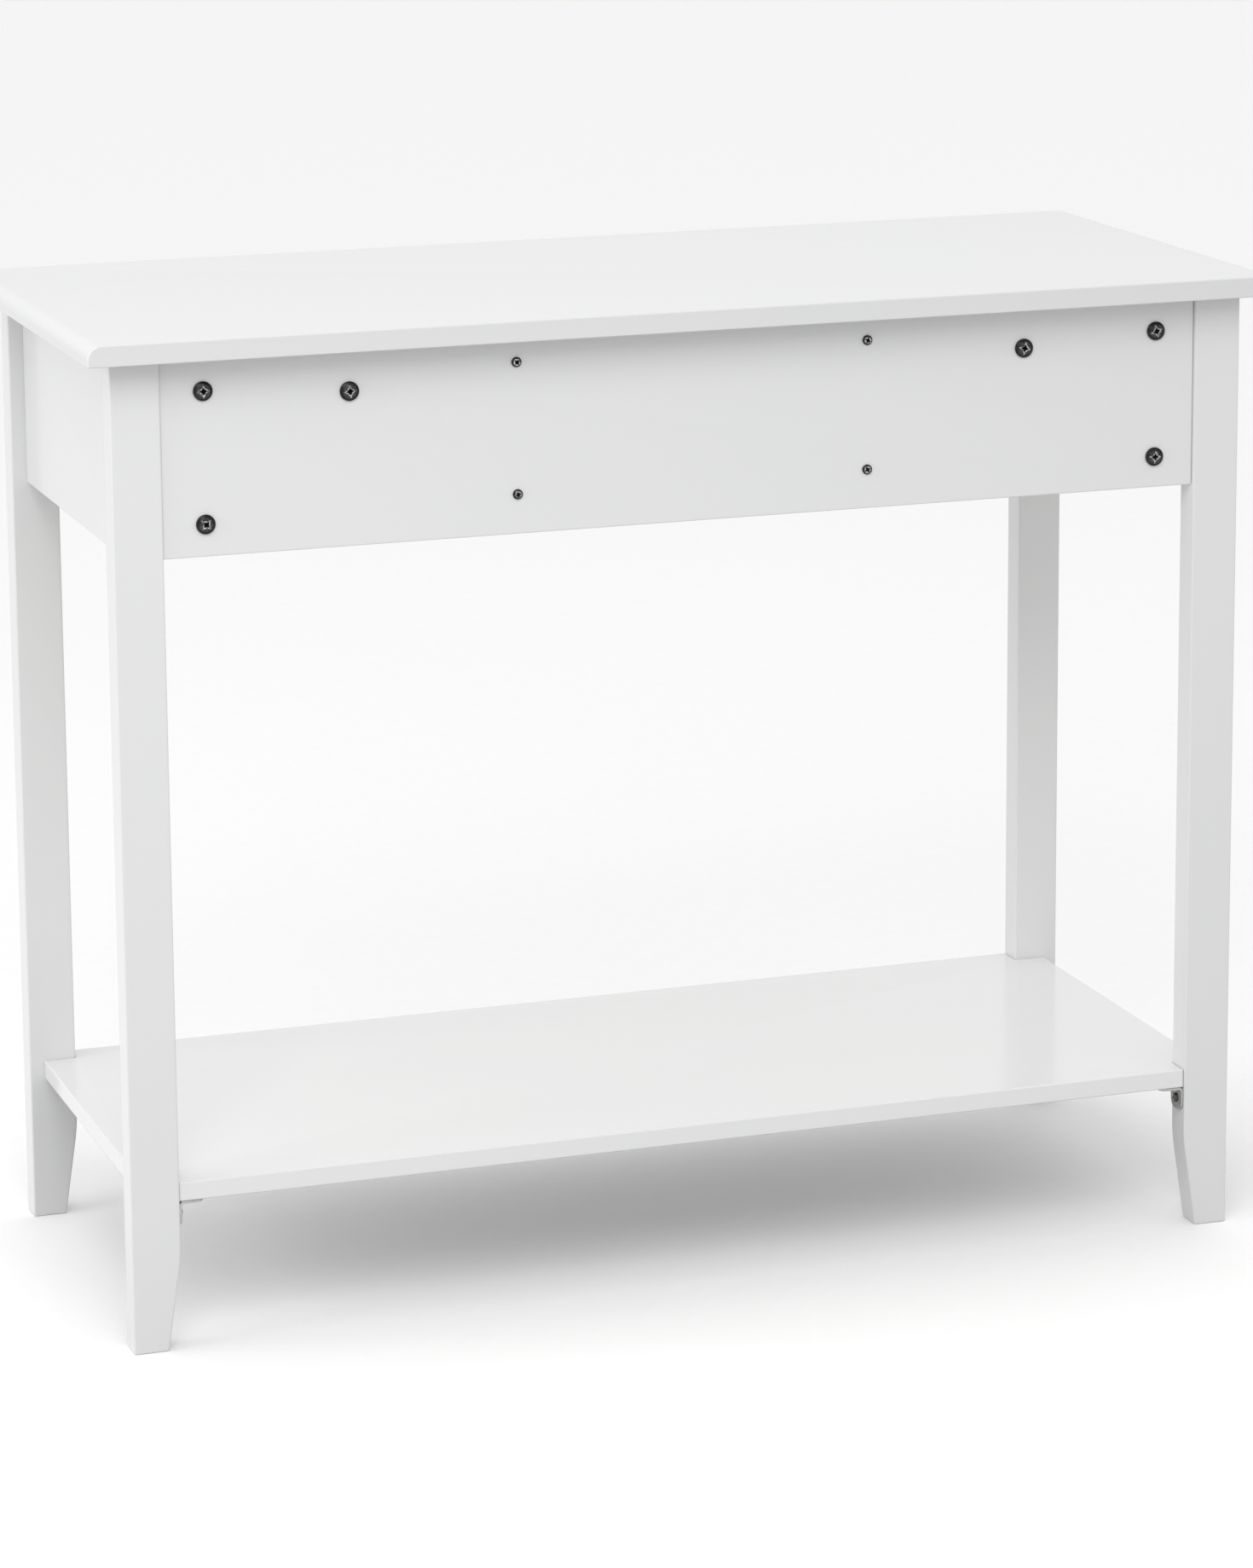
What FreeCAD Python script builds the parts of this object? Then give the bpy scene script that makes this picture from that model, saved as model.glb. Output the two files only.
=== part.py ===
import FreeCAD, Part
import os
import Sketcher

# Console table: a lacquered slab on four tapered legs, an apron with three drawers and a low shelf.
# Frame: +Z up, origin on the floor under the middle of the tabletop, the drawers face -Y.
# "left" and "right" are those of someone facing the drawers: left is -X.

os.makedirs("parts", exist_ok=True)
doc = FreeCAD.newDocument("console_table")
sheet = doc.addObject("Spreadsheet::Sheet", "Dims")

# Every size that can be set on its own, in millimetres.
SIZES = (
    ("overall_width", 955, "tabletop, end to end"),
    ("overall_depth", 420, "tabletop, front to back"),
    ("overall_height", 780, "floor to the face of the tabletop"),
    ("top_thick", 16, "tabletop"),
    ("top_round", 10, "round-over of the tabletop's front and ends"),
    ("end_overhang", 22.5, "tabletop beyond the legs at each end"),
    ("back_overhang", 29, "tabletop beyond the rear legs"),
    ("front_overhang", 21, "tabletop beyond the front legs"),
    ("leg_width", 38, "leg, along the table"),
    ("leg_depth", 24, "leg, front to back"),
    ("foot_width", 27, "leg at the floor, along the table"),
    ("taper_height", 73, "height over which the foot tapers"),
    ("leg_ease", 1.5, "flat taken off each long edge of a leg"),
    ("board", 15, "thickness of panels, rails, partitions and drawer fronts"),
    ("apron_height", 151.5, "back and side panels"),
    ("side_inset", 12, "side panels behind the outer faces of the legs"),
    ("back_inset", 3.5, "back panel behind the rear faces of the legs"),
    ("front_inset", 3, "rails and drawer fronts behind the front faces of the legs"),
    ("panel_gap", 0.8, "open line between the back panel and each leg"),
    ("shelf_top", 132, "floor to the face of the shelf"),
    ("shelf_thick", 15, "shelf"),
    ("shelf_inset", 2, "long shelf edges behind the leg faces"),
    ("notch_gap", 0.3, "shelf notch round a leg"),
    ("rail_depth", 60, "front rails, front to back"),
    ("block_depth", 24, "corner and top blocks, front to back"),
    ("block_width", 47, "corner blocks, along the back panel"),
    ("block_rise", 8, "foot of a corner block above the apron's lower edge"),
    ("top_block_width", 56, "top blocks, along the back panel"),
    ("top_block_height", 50, "top blocks"),
    ("front_gap", 1.5, "open line round a drawer front"),
    ("slide_gap", 0.3, "running clearance of a drawer on its runners"),
    ("side_lift", 1, "drawer sides above the lower edge of the drawer front"),
    ("drawer_side", 12, "thickness of drawer sides and backs"),
    ("drawer_side_height", 110, "drawer sides"),
    ("runner_clear", 3.5, "runners in front of the corner blocks"),
    ("drawer_floor", 4, "drawer bottoms"),
    ("floor_lift", 8, "groove above the lower edge of a drawer side"),
    ("groove_depth", 5, "groove for a drawer bottom"),
    ("groove_play", 0.2, "play of a drawer bottom in its groove"),
    ("rebate_depth", 6, "rebate of a drawer front for the sides"),
    ("housing_depth", 4, "housing of a drawer side for the back"),
    ("tail", 2, "drawer sides beyond the drawer back"),
    ("runner_width", 12, "ledge that carries a drawer side"),
    ("runner_height", 12, "runner"),
    ("guide_height", 60, "upright of an outer runner"),
    ("runner_tail", 6, "runner beyond a closed drawer"),
    ("stop_height", 12, "closing stop"),
    ("clip_width", 26, "stop clip, across the drawer"),
    ("clip_wall", 2.5, "walls of a stop clip"),
    ("clip_grip", 18, "walls of a stop clip below the edge they hold"),
    ("clip_rise", 17, "upstand of a stop clip above the drawer back"),
    ("clip_upstand", 6, "thickness of that upstand"),
    ("knob_width", 24, "face of a knob"),
    ("knob_neck", 11, "neck of a knob"),
    ("knob_length", 18, "knob in front of the drawer front"),
    ("knob_bore_depth", 10, "bore of a knob"),
    ("bolt_shank", 6, "back panel bolts"),
    ("bolt_length", 34, "back panel bolts under the head"),
    ("bolt_head", 14.8, "back panel bolt heads"),
    ("bolt_head_height", 3.6, "back panel bolt heads"),
    ("bolt_end_reach", 33, "end bolts from the leg"),
    ("bolt_high_drop", 27, "upper end bolts under the tabletop"),
    ("bolt_low_rise", 24.5, "lower end bolts above the apron's lower edge"),
    ("bolt_mid_drop", 34, "middle bolts under the tabletop"),
    ("bolt_mid_shift", 11, "middle bolts inward of the middle of a drawer lane"),
    ("screw_shank", 4, "wood screws"),
    ("screw_head", 7.8, "wood screw heads"),
    ("screw_head_height", 2.6, "wood screw heads"),
    ("panel_screw_length", 35, "back panel screws"),
    ("panel_screw_drop", 20, "upper back panel screws under the tabletop"),
    ("panel_screw_rise", 30.5, "lower back panel screws above the apron's lower edge"),
    ("block_screw_length", 70, "corner block screws"),
    ("block_screw_step", 30, "corner block screws, each side of the apron's mid height"),
    ("top_screw_length", 35, "top block screws"),
    ("top_screw_step", 18, "top block screws, each side of the bolt"),
    ("top_screw_bite", 10, "top block and rail screws in the tabletop"),
    ("rail_screw_sink", 3, "rail screw heads below the rail's surface"),
    ("rail_screw_step", 70, "rail screws, each side of a lane boundary"),
    ("bracket_screw_length", 11, "bracket screws"),
    ("knob_screw_bite", 8, "knob screws in the knob"),
    ("bore_play", 0.1, "bore over a shank or dowel, on the diameter"),
    ("dowel_width", 8, "frame dowels"),
    ("dowel_length", 30, "frame dowels"),
    ("dowel_margin", 27, "side panel dowels from the panel's edges"),
    ("pin_width", 6, "partition dowels"),
    ("pin_length", 22, "partition dowels"),
    ("pin_reach", 22, "partition dowels behind the rail's front edge"),
    ("bracket_width", 20, "shelf brackets"),
    ("bracket_arm", 20, "shelf bracket arms"),
    ("bracket_thick", 2, "shelf bracket plate"),
    ("bracket_corner", 6, "rounded ends of the bracket arms"),
)


class Size:
    """A length that carries its value and the spreadsheet expression that gives it."""

    def __init__(self, value, text):
        self.value = float(value)
        self.text = text

    def joined(self, other, sign, value, swap=False):
        pair = (other.text, self.text) if swap else (self.text, other.text)
        return Size(value, "(%s %s %s)" % (pair[0], sign, pair[1]))

    def __add__(self, other):
        other = length(other)
        return self.joined(other, "+", self.value + other.value)

    def __radd__(self, other):
        return length(other) + self

    def __sub__(self, other):
        other = length(other)
        return self.joined(other, "-", self.value - other.value)

    def __rsub__(self, other):
        return length(other) - self

    def __mul__(self, other):
        other = length(other)
        return self.joined(other, "*", self.value * other.value)

    def __rmul__(self, other):
        return length(other) * self

    def __truediv__(self, other):
        other = length(other)
        return self.joined(other, "/", self.value / other.value)

    def __neg__(self):
        return length(-1) * self


def length(value):
    """A plain number as a Size."""
    if isinstance(value, Size):
        return value
    return Size(value, "(%r)" % float(value))


class Dims:
    """The spreadsheet's sizes by name."""


d = Dims()
for row, (alias, number, note) in enumerate(SIZES, start=1):
    sheet.set("A%d" % row, note)
    sheet.set("B%d" % row, str(number))
    sheet.setAlias("B%d" % row, alias)
    setattr(d, alias, Size(number, "Dims.%s" % alias))
doc.recompute()

# Planes that several parts share.
frame_top = d.overall_height - d.top_thick
apron_low = frame_top - d.apron_height
leg_out = d.overall_width / 2 - d.end_overhang
leg_in = leg_out - d.leg_width
rear_out = d.overall_depth / 2 - d.back_overhang
rear_in = rear_out - d.leg_depth
front_out = -d.overall_depth / 2 + d.front_overhang
front_in = front_out + d.leg_depth
face_y = front_out + d.front_inset
rail_back = face_y + d.rail_depth
panel_back = rear_out - d.back_inset
panel_front = panel_back - d.board
block_front = panel_front - d.block_depth
side_out = leg_out - d.side_inset
side_in = side_out - d.board
lane_width = (leg_in * 2 - d.board * 2) / 3
lane_step = lane_width + d.board
partition_x = lane_step / 2
lane_low = apron_low + d.board
lane_high = frame_top - d.board
shelf_low = d.shelf_top - d.shelf_thick
bracket_screw_reach = d.bracket_thick + (d.bracket_arm - d.bracket_thick) / 2

# Drawer planes, closed.
front_width = lane_width - d.front_gap * 2
front_low = lane_low + d.front_gap
front_high = lane_high - d.front_gap
box_front = face_y + d.board
runner_end = block_front - d.runner_clear
box_back = runner_end - d.runner_tail
box_low = front_low + d.side_lift
box_high = box_low + d.drawer_side_height
runner_top = box_low - d.slide_gap
floor_low = box_low + d.floor_lift
floor_high = floor_low + d.drawer_floor + d.groove_play
back_rear = box_back - d.tail
back_front = back_rear - d.drawer_side
knob_z = (front_low + front_high) / 2

ZERO = length(0)
NODES = {}


def bind(thing, prop, value):
    """Ties one property to the spreadsheet."""
    thing.setExpression(prop, value.text)


def place(thing, at, rotation=None):
    """Puts a shape's own origin at a point of the shared frame."""
    turn = rotation or FreeCAD.Rotation()
    thing.Placement = FreeCAD.Placement(FreeCAD.Vector(*[s.value for s in at]), turn)
    for axis, value in zip("xyz", at):
        bind(thing, "Placement.Base.%s" % axis, value)


def pin_point(sketch, edge, corner, u, v):
    """Fixes one point of a sketch by its two coordinates."""
    for kind, axis, value in (("DistanceX", -2, u), ("DistanceY", -1, v)):
        if value.text == ZERO.text:
            sketch.addConstraint(Sketcher.Constraint("PointOnObject", edge, corner, axis))
            continue
        rule = Sketcher.Constraint(kind, -1, 1, edge, corner, value.value)
        index = sketch.addConstraint(rule)
        sketch.setExpression("Constraints[%d]" % index, value.text)


def draw_outline(sketch, points):
    """A closed outline through the given corners."""
    corners = [FreeCAD.Vector(u.value, v.value, 0) for u, v in points]
    count = len(corners)
    edges = []
    for i in range(count):
        line = Part.LineSegment(corners[i], corners[(i + 1) % count])
        edges.append(sketch.addGeometry(line, False))
    for i in range(count):
        after = edges[(i + 1) % count]
        sketch.addConstraint(Sketcher.Constraint("Coincident", edges[i], 2, after, 1))
    for edge, (u, v) in zip(edges, points):
        pin_point(sketch, edge, 1, u, v)


def draw_circle(sketch, u, v, width):
    """A circle of a given diameter about a point."""
    centre = FreeCAD.Vector(u.value, v.value, 0)
    ring = Part.Circle(centre, FreeCAD.Vector(0, 0, 1), width.value / 2)
    edge = sketch.addGeometry(ring, False)
    pin_point(sketch, edge, 3, u, v)
    index = sketch.addConstraint(Sketcher.Constraint("Diameter", edge, width.value))
    sketch.setExpression("Constraints[%d]" % index, width.text)


class Piece:
    """A body of its own, with the point of the shared frame its local origin stands at."""

    planes = {"x": ("YZ_Plane", 1), "y": ("XZ_Plane", -1), "z": ("XY_Plane", 1)}

    def __init__(self, name, at, rotation=None):
        self.name = name
        self.at = dict(zip("xyz", at))
        self.body = doc.addObject("PartDesign::Body", name)
        self.body.Label = name
        self.count = 0
        place(self.body, at, rotation)

    def local(self, axis, value):
        """A coordinate of the shared frame as one of this body's own."""
        shift = self.at[axis]
        if value.text == shift.text:
            return ZERO
        if shift.text == ZERO.text:
            return value
        return value - shift

    def sketch(self, axis, level=ZERO):
        """An empty sketch square to an axis, at a height along it in the body's own frame."""
        role, way = self.planes[axis]
        self.count += 1
        made = self.body.newObject("Sketcher::SketchObject", "%s_sketch_%d" % (self.name, self.count))
        plane = [f for f in self.body.Origin.OriginFeatures if f.Role == role][0]
        made.AttachmentSupport = [(plane, "")]
        made.MapMode = "FlatFace"
        if level.text != ZERO.text:
            shift = level if way > 0 else -level
            made.AttachmentOffset = FreeCAD.Placement(FreeCAD.Vector(0, 0, shift.value), FreeCAD.Rotation())
            bind(made, "AttachmentOffset.Base.z", shift)
        return made

    def pad(self, sketch, depth, back=False):
        """Adds a prism."""
        made = self.body.newObject("PartDesign::Pad", sketch.Name + "_pad")
        made.Profile = sketch
        made.Length = depth.value
        bind(made, "Length", depth)
        made.Reversed = back
        self.body.Tip = made
        doc.recompute()
        return made

    def pocket(self, sketch, depth):
        """Takes a prism away on whichever side of the sketch holds material."""
        whole = self.body.Shape.Volume
        made = self.body.newObject("PartDesign::Pocket", sketch.Name + "_pocket")
        made.Profile = sketch
        made.Length = depth.value
        bind(made, "Length", depth)
        self.body.Tip = made
        doc.recompute()
        if "Invalid" in made.State or whole - self.body.Shape.Volume < 1e-6:
            made.Reversed = True
            doc.recompute()
        return made

    def bore(self, axis, level, centres, width, depth):
        """Round holes from a face square to an axis; centres are in the shared frame."""
        across = [a for a in "xyz" if a != axis]
        made = self.sketch(axis, self.local(axis, level))
        for u, v in centres:
            draw_circle(made, self.local(across[0], u), self.local(across[1], v), width)
        return self.pocket(made, depth)

    def slot(self, axis, level, low, high, depth):
        """A rectangular recess between two corners, given in the shared frame."""
        across = [a for a in "xyz" if a != axis]
        u0, v0 = [self.local(a, s) for a, s in zip(across, low)]
        u1, v1 = [self.local(a, s) for a, s in zip(across, high)]
        made = self.sketch(axis, self.local(axis, level))
        draw_outline(made, [(u0, v0), (u1, v0), (u1, v1), (u0, v1)])
        return self.pocket(made, depth)

    def rounded(self, radius, chosen):
        """Rounds the edges that a test picks out."""
        base = self.body.Tip
        names = ["Edge%d" % (i + 1) for i, e in enumerate(base.Shape.Edges) if chosen(e)]
        made = self.body.newObject("PartDesign::Fillet", self.name + "_round")
        made.Base = (base, names)
        made.Radius = radius.value
        bind(made, "Radius", radius)
        self.body.Tip = made
        doc.recompute()
        return made

    def turned(self, points):
        """Adds a solid of revolution about the local Z axis from a radius and height outline."""
        made = self.sketch("y")
        draw_outline(made, points)
        spin = self.body.newObject("PartDesign::Revolution", made.Name + "_turned")
        spin.Profile = made
        spin.ReferenceAxis = (made, ["V_Axis"])
        spin.Angle = 360
        self.body.Tip = spin
        doc.recompute()
        return spin

    def keep(self):
        """Lists the body as a part of the table."""
        NODES[self.name] = self.body
        return self


def board(name, low, high):
    """A flat board between two opposite corners in the shared frame."""
    made = Piece(name, low)
    base = made.sketch("z")
    wide, deep, tall = [b - a for a, b in zip(low, high)]
    draw_outline(base, [(ZERO, ZERO), (wide, ZERO), (wide, deep), (ZERO, deep)])
    made.pad(base, tall)
    return made.keep()


def mirror_pair(name, side, low, high):
    """A board on the left (-1) or right (+1), given by the corners of the right-hand one."""
    if side > 0:
        return board(name, low, high)
    return board(name, (-high[0], low[1], low[2]), (-low[0], high[1], high[2]))


SIDES = (("left", -1), ("right", 1))


def signed(side, value):
    """A right-hand coordinate as that of the named side."""
    return value if side > 0 else -value


def side_dowel_heights():
    """Heights of the dowels between side panels and legs."""
    return (apron_low + d.dowel_margin, frame_top - d.dowel_margin)


def block_screw_heights():
    """Heights of the screws that hold a corner block to the side panel."""
    middle = (frame_top + apron_low) / 2
    return (middle - d.block_screw_step, middle + d.block_screw_step)


def block_screw_y():
    """Depth at which the corner block screws run."""
    return (block_front + rear_in) / 2


def side_mid():
    """Middle of a side panel's thickness."""
    return side_out - d.board / 2


def rail_dowel_y():
    """Depth at which the rail dowels run."""
    return front_out + d.leg_depth / 2


def top_screw_places():
    """Screws through the top blocks, then screws through the front rail."""
    blocks = []
    rails = []
    for name, side in SIDES:
        for step in (-1, 1):
            x = signed(side, lane_step - d.bolt_mid_shift + d.top_screw_step * step)
            blocks.append((x, block_front + d.block_depth / 2))
            x = signed(side, partition_x + d.rail_screw_step * step)
            rails.append((x, face_y + d.rail_depth / 2))
    return blocks, rails


def bolt_places():
    """Centres of the bolt heads on the back panel: end bolts, then middle bolts."""
    ends = []
    middles = []
    for name, side in SIDES:
        x = signed(side, leg_in - d.bolt_end_reach)
        ends.append((x, frame_top - d.bolt_high_drop))
        ends.append((x, apron_low + d.bolt_low_rise))
        middles.append((signed(side, lane_step - d.bolt_mid_shift), frame_top - d.bolt_mid_drop))
    return ends, middles


def panel_screw_places():
    """Centres of the small screws on the back panel."""
    heights = (frame_top - d.panel_screw_drop, apron_low + d.panel_screw_rise)
    return [(signed(side, partition_x), z) for name, side in SIDES for z in heights]


def make_tabletop():
    """A slab with a round-over on its front and ends and a square back edge."""
    half_w = d.overall_width / 2
    half_d = d.overall_depth / 2
    top = board("tabletop", (-half_w, -half_d, frame_top), (half_w, half_d, d.overall_height))
    high = d.top_thick.value
    back = d.overall_depth.value

    def chosen(edge):
        box = edge.BoundBox
        flat = box.ZMin > high - 1e-3
        return flat and box.YMin < back - 1e-3
    top.rounded(d.top_round, chosen)
    blocks, rails = top_screw_places()
    top.bore("z", frame_top, blocks + rails, d.screw_shank + d.bore_play, d.top_screw_bite + 1)


def make_leg(name, side, rear):
    """A leg with eased edges whose inner face tapers to the foot."""
    x0 = signed(side, leg_in if side > 0 else leg_out)
    y0 = rear_in if rear else front_out
    leg = Piece(name, (x0, y0, ZERO))
    less = d.leg_width - d.foot_width
    u_low = less if side > 0 else ZERO

    def section(level, u0, width):
        made = leg.sketch("z", level)
        e = d.leg_ease
        u1, v1 = u0 + width, d.leg_depth
        draw_outline(made, [(u0 + e, ZERO), (u1 - e, ZERO), (u1, e), (u1, v1 - e),
                            (u1 - e, v1), (u0 + e, v1), (u0, v1 - e), (u0, e)])
        return made
    foot = section(ZERO, u_low, d.foot_width)
    knee = section(d.taper_height, ZERO, d.leg_width)
    taper = leg.body.newObject("PartDesign::AdditiveLoft", name + "_taper")
    taper.Profile = foot
    taper.Sections = [knee]
    taper.Ruled = True
    leg.body.Tip = taper
    doc.recompute()
    shaft = section(d.taper_height, ZERO, d.leg_width)
    leg.pad(shaft, frame_top - d.taper_height)
    inner_x = signed(side, leg_in)
    inner_y = rear_in if rear else front_in
    mid_y = inner_y + (d.leg_depth / 2 if rear else -d.leg_depth / 2)
    bore = d.dowel_width + d.bore_play
    reach = d.dowel_length / 2 + 0.5
    x = signed(side, side_mid())
    leg.bore("y", inner_y, [(x, z) for z in side_dowel_heights()], bore, reach)
    if not rear:
        rails = [(rail_dowel_y(), apron_low + d.board / 2), (rail_dowel_y(), frame_top - d.board / 2)]
        leg.bore("x", inner_x, rails, bore, reach)
    low = shelf_low - bracket_screw_reach
    bite = d.bracket_screw_length - d.bracket_thick + 1
    leg.bore("x", inner_x, [(mid_y, low)], d.screw_shank + d.bore_play, bite)
    leg.keep()


def make_back_panel():
    """The board between the rear legs that takes the bolts and the partition screws."""
    half = leg_in - d.panel_gap
    panel = board("back_panel", (-half, panel_front, apron_low), (half, panel_back, frame_top))
    ends, middles = bolt_places()
    panel.bore("y", panel_back, ends + middles, d.bolt_shank + d.bore_play, d.board + 1)
    panel.bore("y", panel_back, panel_screw_places(), d.screw_shank + d.bore_play, d.board + 1)


def make_side_panel(name, side):
    """The board between two legs at one end."""
    panel = mirror_pair(name, side, (side_in, front_in, apron_low), (side_out, rear_in, frame_top))
    x = signed(side, side_mid())
    centres = [(x, z) for z in side_dowel_heights()]
    for level in (front_in, rear_in):
        panel.bore("y", level, centres, d.dowel_width + d.bore_play, d.dowel_length / 2 + 0.5)
    centres = [(block_screw_y(), z) for z in block_screw_heights()]
    bite = d.block_screw_length - (side_in - leg_in + d.block_width) + 1
    panel.bore("x", signed(side, side_in), centres, d.screw_shank + d.bore_play, bite)


def make_front_rail(name, low, high, joint, screws):
    """A flat rail under or over the drawers, doweled to the legs and the partitions."""
    rail = board(name, (-leg_in, face_y, low), (leg_in, rail_back, high))
    end = [(rail_dowel_y(), (low + high) / 2)]
    for level in (-leg_in, leg_in):
        rail.bore("x", level, end, d.dowel_width + d.bore_play, d.dowel_length / 2 + 0.5)
    pins = [(signed(side, partition_x), face_y + d.pin_reach) for label, side in SIDES]
    rail.bore("z", joint, pins, d.pin_width + d.bore_play, d.pin_length / 2 + 0.5)
    if screws:
        rail.bore("z", low, screws, d.screw_shank + d.bore_play, d.board + 1)
        rail.bore("z", low, screws, d.screw_head + 1, d.rail_screw_sink)


def make_partition(name, side):
    """A board from the front rails to the back panel, notched for the rails."""
    middle = signed(side, partition_x)
    wall = Piece(name, (middle - d.board / 2, face_y, apron_low))
    deep = panel_front - face_y
    tall = d.apron_height
    shape = wall.sketch("x")
    draw_outline(shape, [(d.rail_depth, ZERO), (deep, ZERO), (deep, tall), (d.rail_depth, tall),
                         (d.rail_depth, tall - d.board), (ZERO, tall - d.board),
                         (ZERO, d.board), (d.rail_depth, d.board)])
    wall.pad(shape, d.board)
    pin = [(middle, face_y + d.pin_reach)]
    for level in (lane_low, lane_high):
        wall.bore("z", level, pin, d.pin_width + d.bore_play, d.pin_length / 2 + 0.5)
    screws = [(x, z) for x, z in panel_screw_places() if x.value * side > 0]
    reach = d.panel_screw_length - d.board + 1
    wall.bore("y", panel_front, screws, d.screw_shank + d.bore_play, reach)
    wall.keep()


def make_shelf():
    """The low board, notched round the four legs."""
    shelf = Piece("shelf", (-side_out, front_out + d.shelf_inset, shelf_low))
    wide = side_out * 2
    deep = rear_out - front_out - d.shelf_inset * 2
    u = side_out - leg_in + d.notch_gap
    v = d.leg_depth - d.shelf_inset + d.notch_gap
    shape = shelf.sketch("z")
    draw_outline(shape, [(u, ZERO), (wide - u, ZERO), (wide - u, v), (wide, v),
                         (wide, deep - v), (wide - u, deep - v), (wide - u, deep), (u, deep),
                         (u, deep - v), (ZERO, deep - v), (ZERO, v), (u, v)])
    shelf.pad(shape, d.shelf_thick)
    centres = [(x, y) for x, y, side, row in bracket_places()]
    shelf.bore("z", shelf_low, centres, d.screw_shank + d.bore_play, d.bracket_screw_length)
    shelf.keep()


def bracket_places():
    """Where the upward screw of each shelf bracket stands, with its side and row."""
    places = []
    for name, side in SIDES:
        for row, y in (("front", front_in - d.leg_depth / 2), ("rear", rear_in + d.leg_depth / 2)):
            places.append((signed(side, leg_in - bracket_screw_reach), y, side, row))
    return places


def make_bracket(name, side, y):
    """An angle of plate under the shelf, with rounded arm ends."""
    arm, thick = d.bracket_arm, d.bracket_thick
    x0 = leg_in - arm if side > 0 else -leg_in
    angle = Piece(name, (x0, y - d.bracket_width / 2, shelf_low - arm))
    shape = angle.sketch("y")
    if side > 0:
        points = [(ZERO, arm - thick), (arm - thick, arm - thick), (arm - thick, ZERO),
                  (arm, ZERO), (arm, arm), (ZERO, arm)]
    else:
        points = [(ZERO, ZERO), (thick, ZERO), (thick, arm - thick),
                  (arm, arm - thick), (arm, arm), (ZERO, arm)]
    draw_outline(shape, points)
    angle.pad(shape, d.bracket_width, back=True)
    angle.rounded(d.bracket_corner, lambda edge: edge.Length < thick.value + 1e-3)
    bore = d.screw_shank + d.bore_play
    angle.bore("z", shelf_low, [(signed(side, leg_in - bracket_screw_reach), y)], bore, thick + 1)
    wall = [(y, shelf_low - bracket_screw_reach)]
    angle.bore("x", signed(side, leg_in), wall, bore, thick + 1)
    angle.keep()


def make_corner_block(name, side):
    """The block that joins the back panel to the side panel, cut away round the rear leg."""
    base = apron_low + d.block_rise
    low = (leg_in - d.block_width, block_front, base)
    block = mirror_pair(name, side, low, (side_in, panel_front, frame_top))
    near, far = (leg_in, side_in) if side > 0 else (-side_in, -leg_in)
    block.slot("z", base, (near, rear_in), (far, panel_front), d.apron_height - d.block_rise + 1)
    ends, middles = bolt_places()
    mine = [(x, z) for x, z in ends if x.value * side > 0]
    reach = d.bolt_length - d.board + 1
    block.bore("y", panel_front, mine, d.bolt_shank + d.bore_play, reach)
    centres = [(block_screw_y(), z) for z in block_screw_heights()]
    through = side_in - leg_in + d.block_width + 1
    block.bore("x", signed(side, side_in), centres, d.screw_shank + d.bore_play, through)


def make_top_block(name, side):
    """The block that ties the back panel to the tabletop."""
    middle = lane_step - d.bolt_mid_shift
    half = d.top_block_width / 2
    low = (middle - half, block_front, frame_top - d.top_block_height)
    block = mirror_pair(name, side, low, (middle + half, panel_front, frame_top))
    ends, middles = bolt_places()
    mine = [(x, z) for x, z in middles if x.value * side > 0]
    reach = d.bolt_length - d.board + 1
    block.bore("y", panel_front, mine, d.bolt_shank + d.bore_play, reach)
    blocks, rails = top_screw_places()
    mine = [(x, y) for x, y in blocks if x.value * side > 0]
    base = frame_top - d.top_block_height
    block.bore("z", base, mine, d.screw_shank + d.bore_play, d.top_block_height + 1)
    sink = d.top_block_height - (d.top_screw_length - d.top_screw_bite)
    block.bore("z", base, mine, d.screw_head + 1, sink)


def runner_spans():
    """Low and high x of the six runner ledges, by name."""
    wall = d.board / 2
    inner_low = partition_x + wall
    middle_high = partition_x - wall
    return (
        ("left_lane_runner_outer", -leg_in, d.runner_width - leg_in),
        ("left_lane_runner_inner", -inner_low - d.runner_width, -inner_low),
        ("middle_lane_runner_left", -middle_high, d.runner_width - middle_high),
        ("middle_lane_runner_right", middle_high - d.runner_width, middle_high),
        ("right_lane_runner_inner", inner_low, inner_low + d.runner_width),
        ("right_lane_runner_outer", leg_in - d.runner_width, leg_in),
    )


def make_outer_runner(name, side):
    """An angle-shaped runner on a side panel: a ledge below and a guide beside the drawer."""
    pack = side_in - leg_in
    wide = d.runner_width + pack
    x0 = leg_in - d.runner_width if side > 0 else -side_in
    low = runner_top - d.runner_height
    rail = Piece(name, (x0, rail_back, low))
    shape = rail.sketch("y")
    high, tall = d.runner_height, d.guide_height
    if side > 0:
        points = [(ZERO, ZERO), (wide, ZERO), (wide, tall), (d.runner_width, tall),
                  (d.runner_width, high), (ZERO, high)]
    else:
        points = [(ZERO, ZERO), (wide, ZERO), (wide, high), (pack, high), (pack, tall), (ZERO, tall)]
    draw_outline(shape, points)
    rail.pad(shape, runner_end - rail_back, back=True)
    rail.keep()


def make_runners():
    """The six runners, two to a drawer."""
    low = runner_top - d.runner_height
    for name, x0, x1 in runner_spans():
        if name.endswith("outer"):
            make_outer_runner(name, 1 if x0.value > 0 else -1)
        else:
            board(name, (x0, rail_back, low), (x1, runner_end, runner_top))


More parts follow.
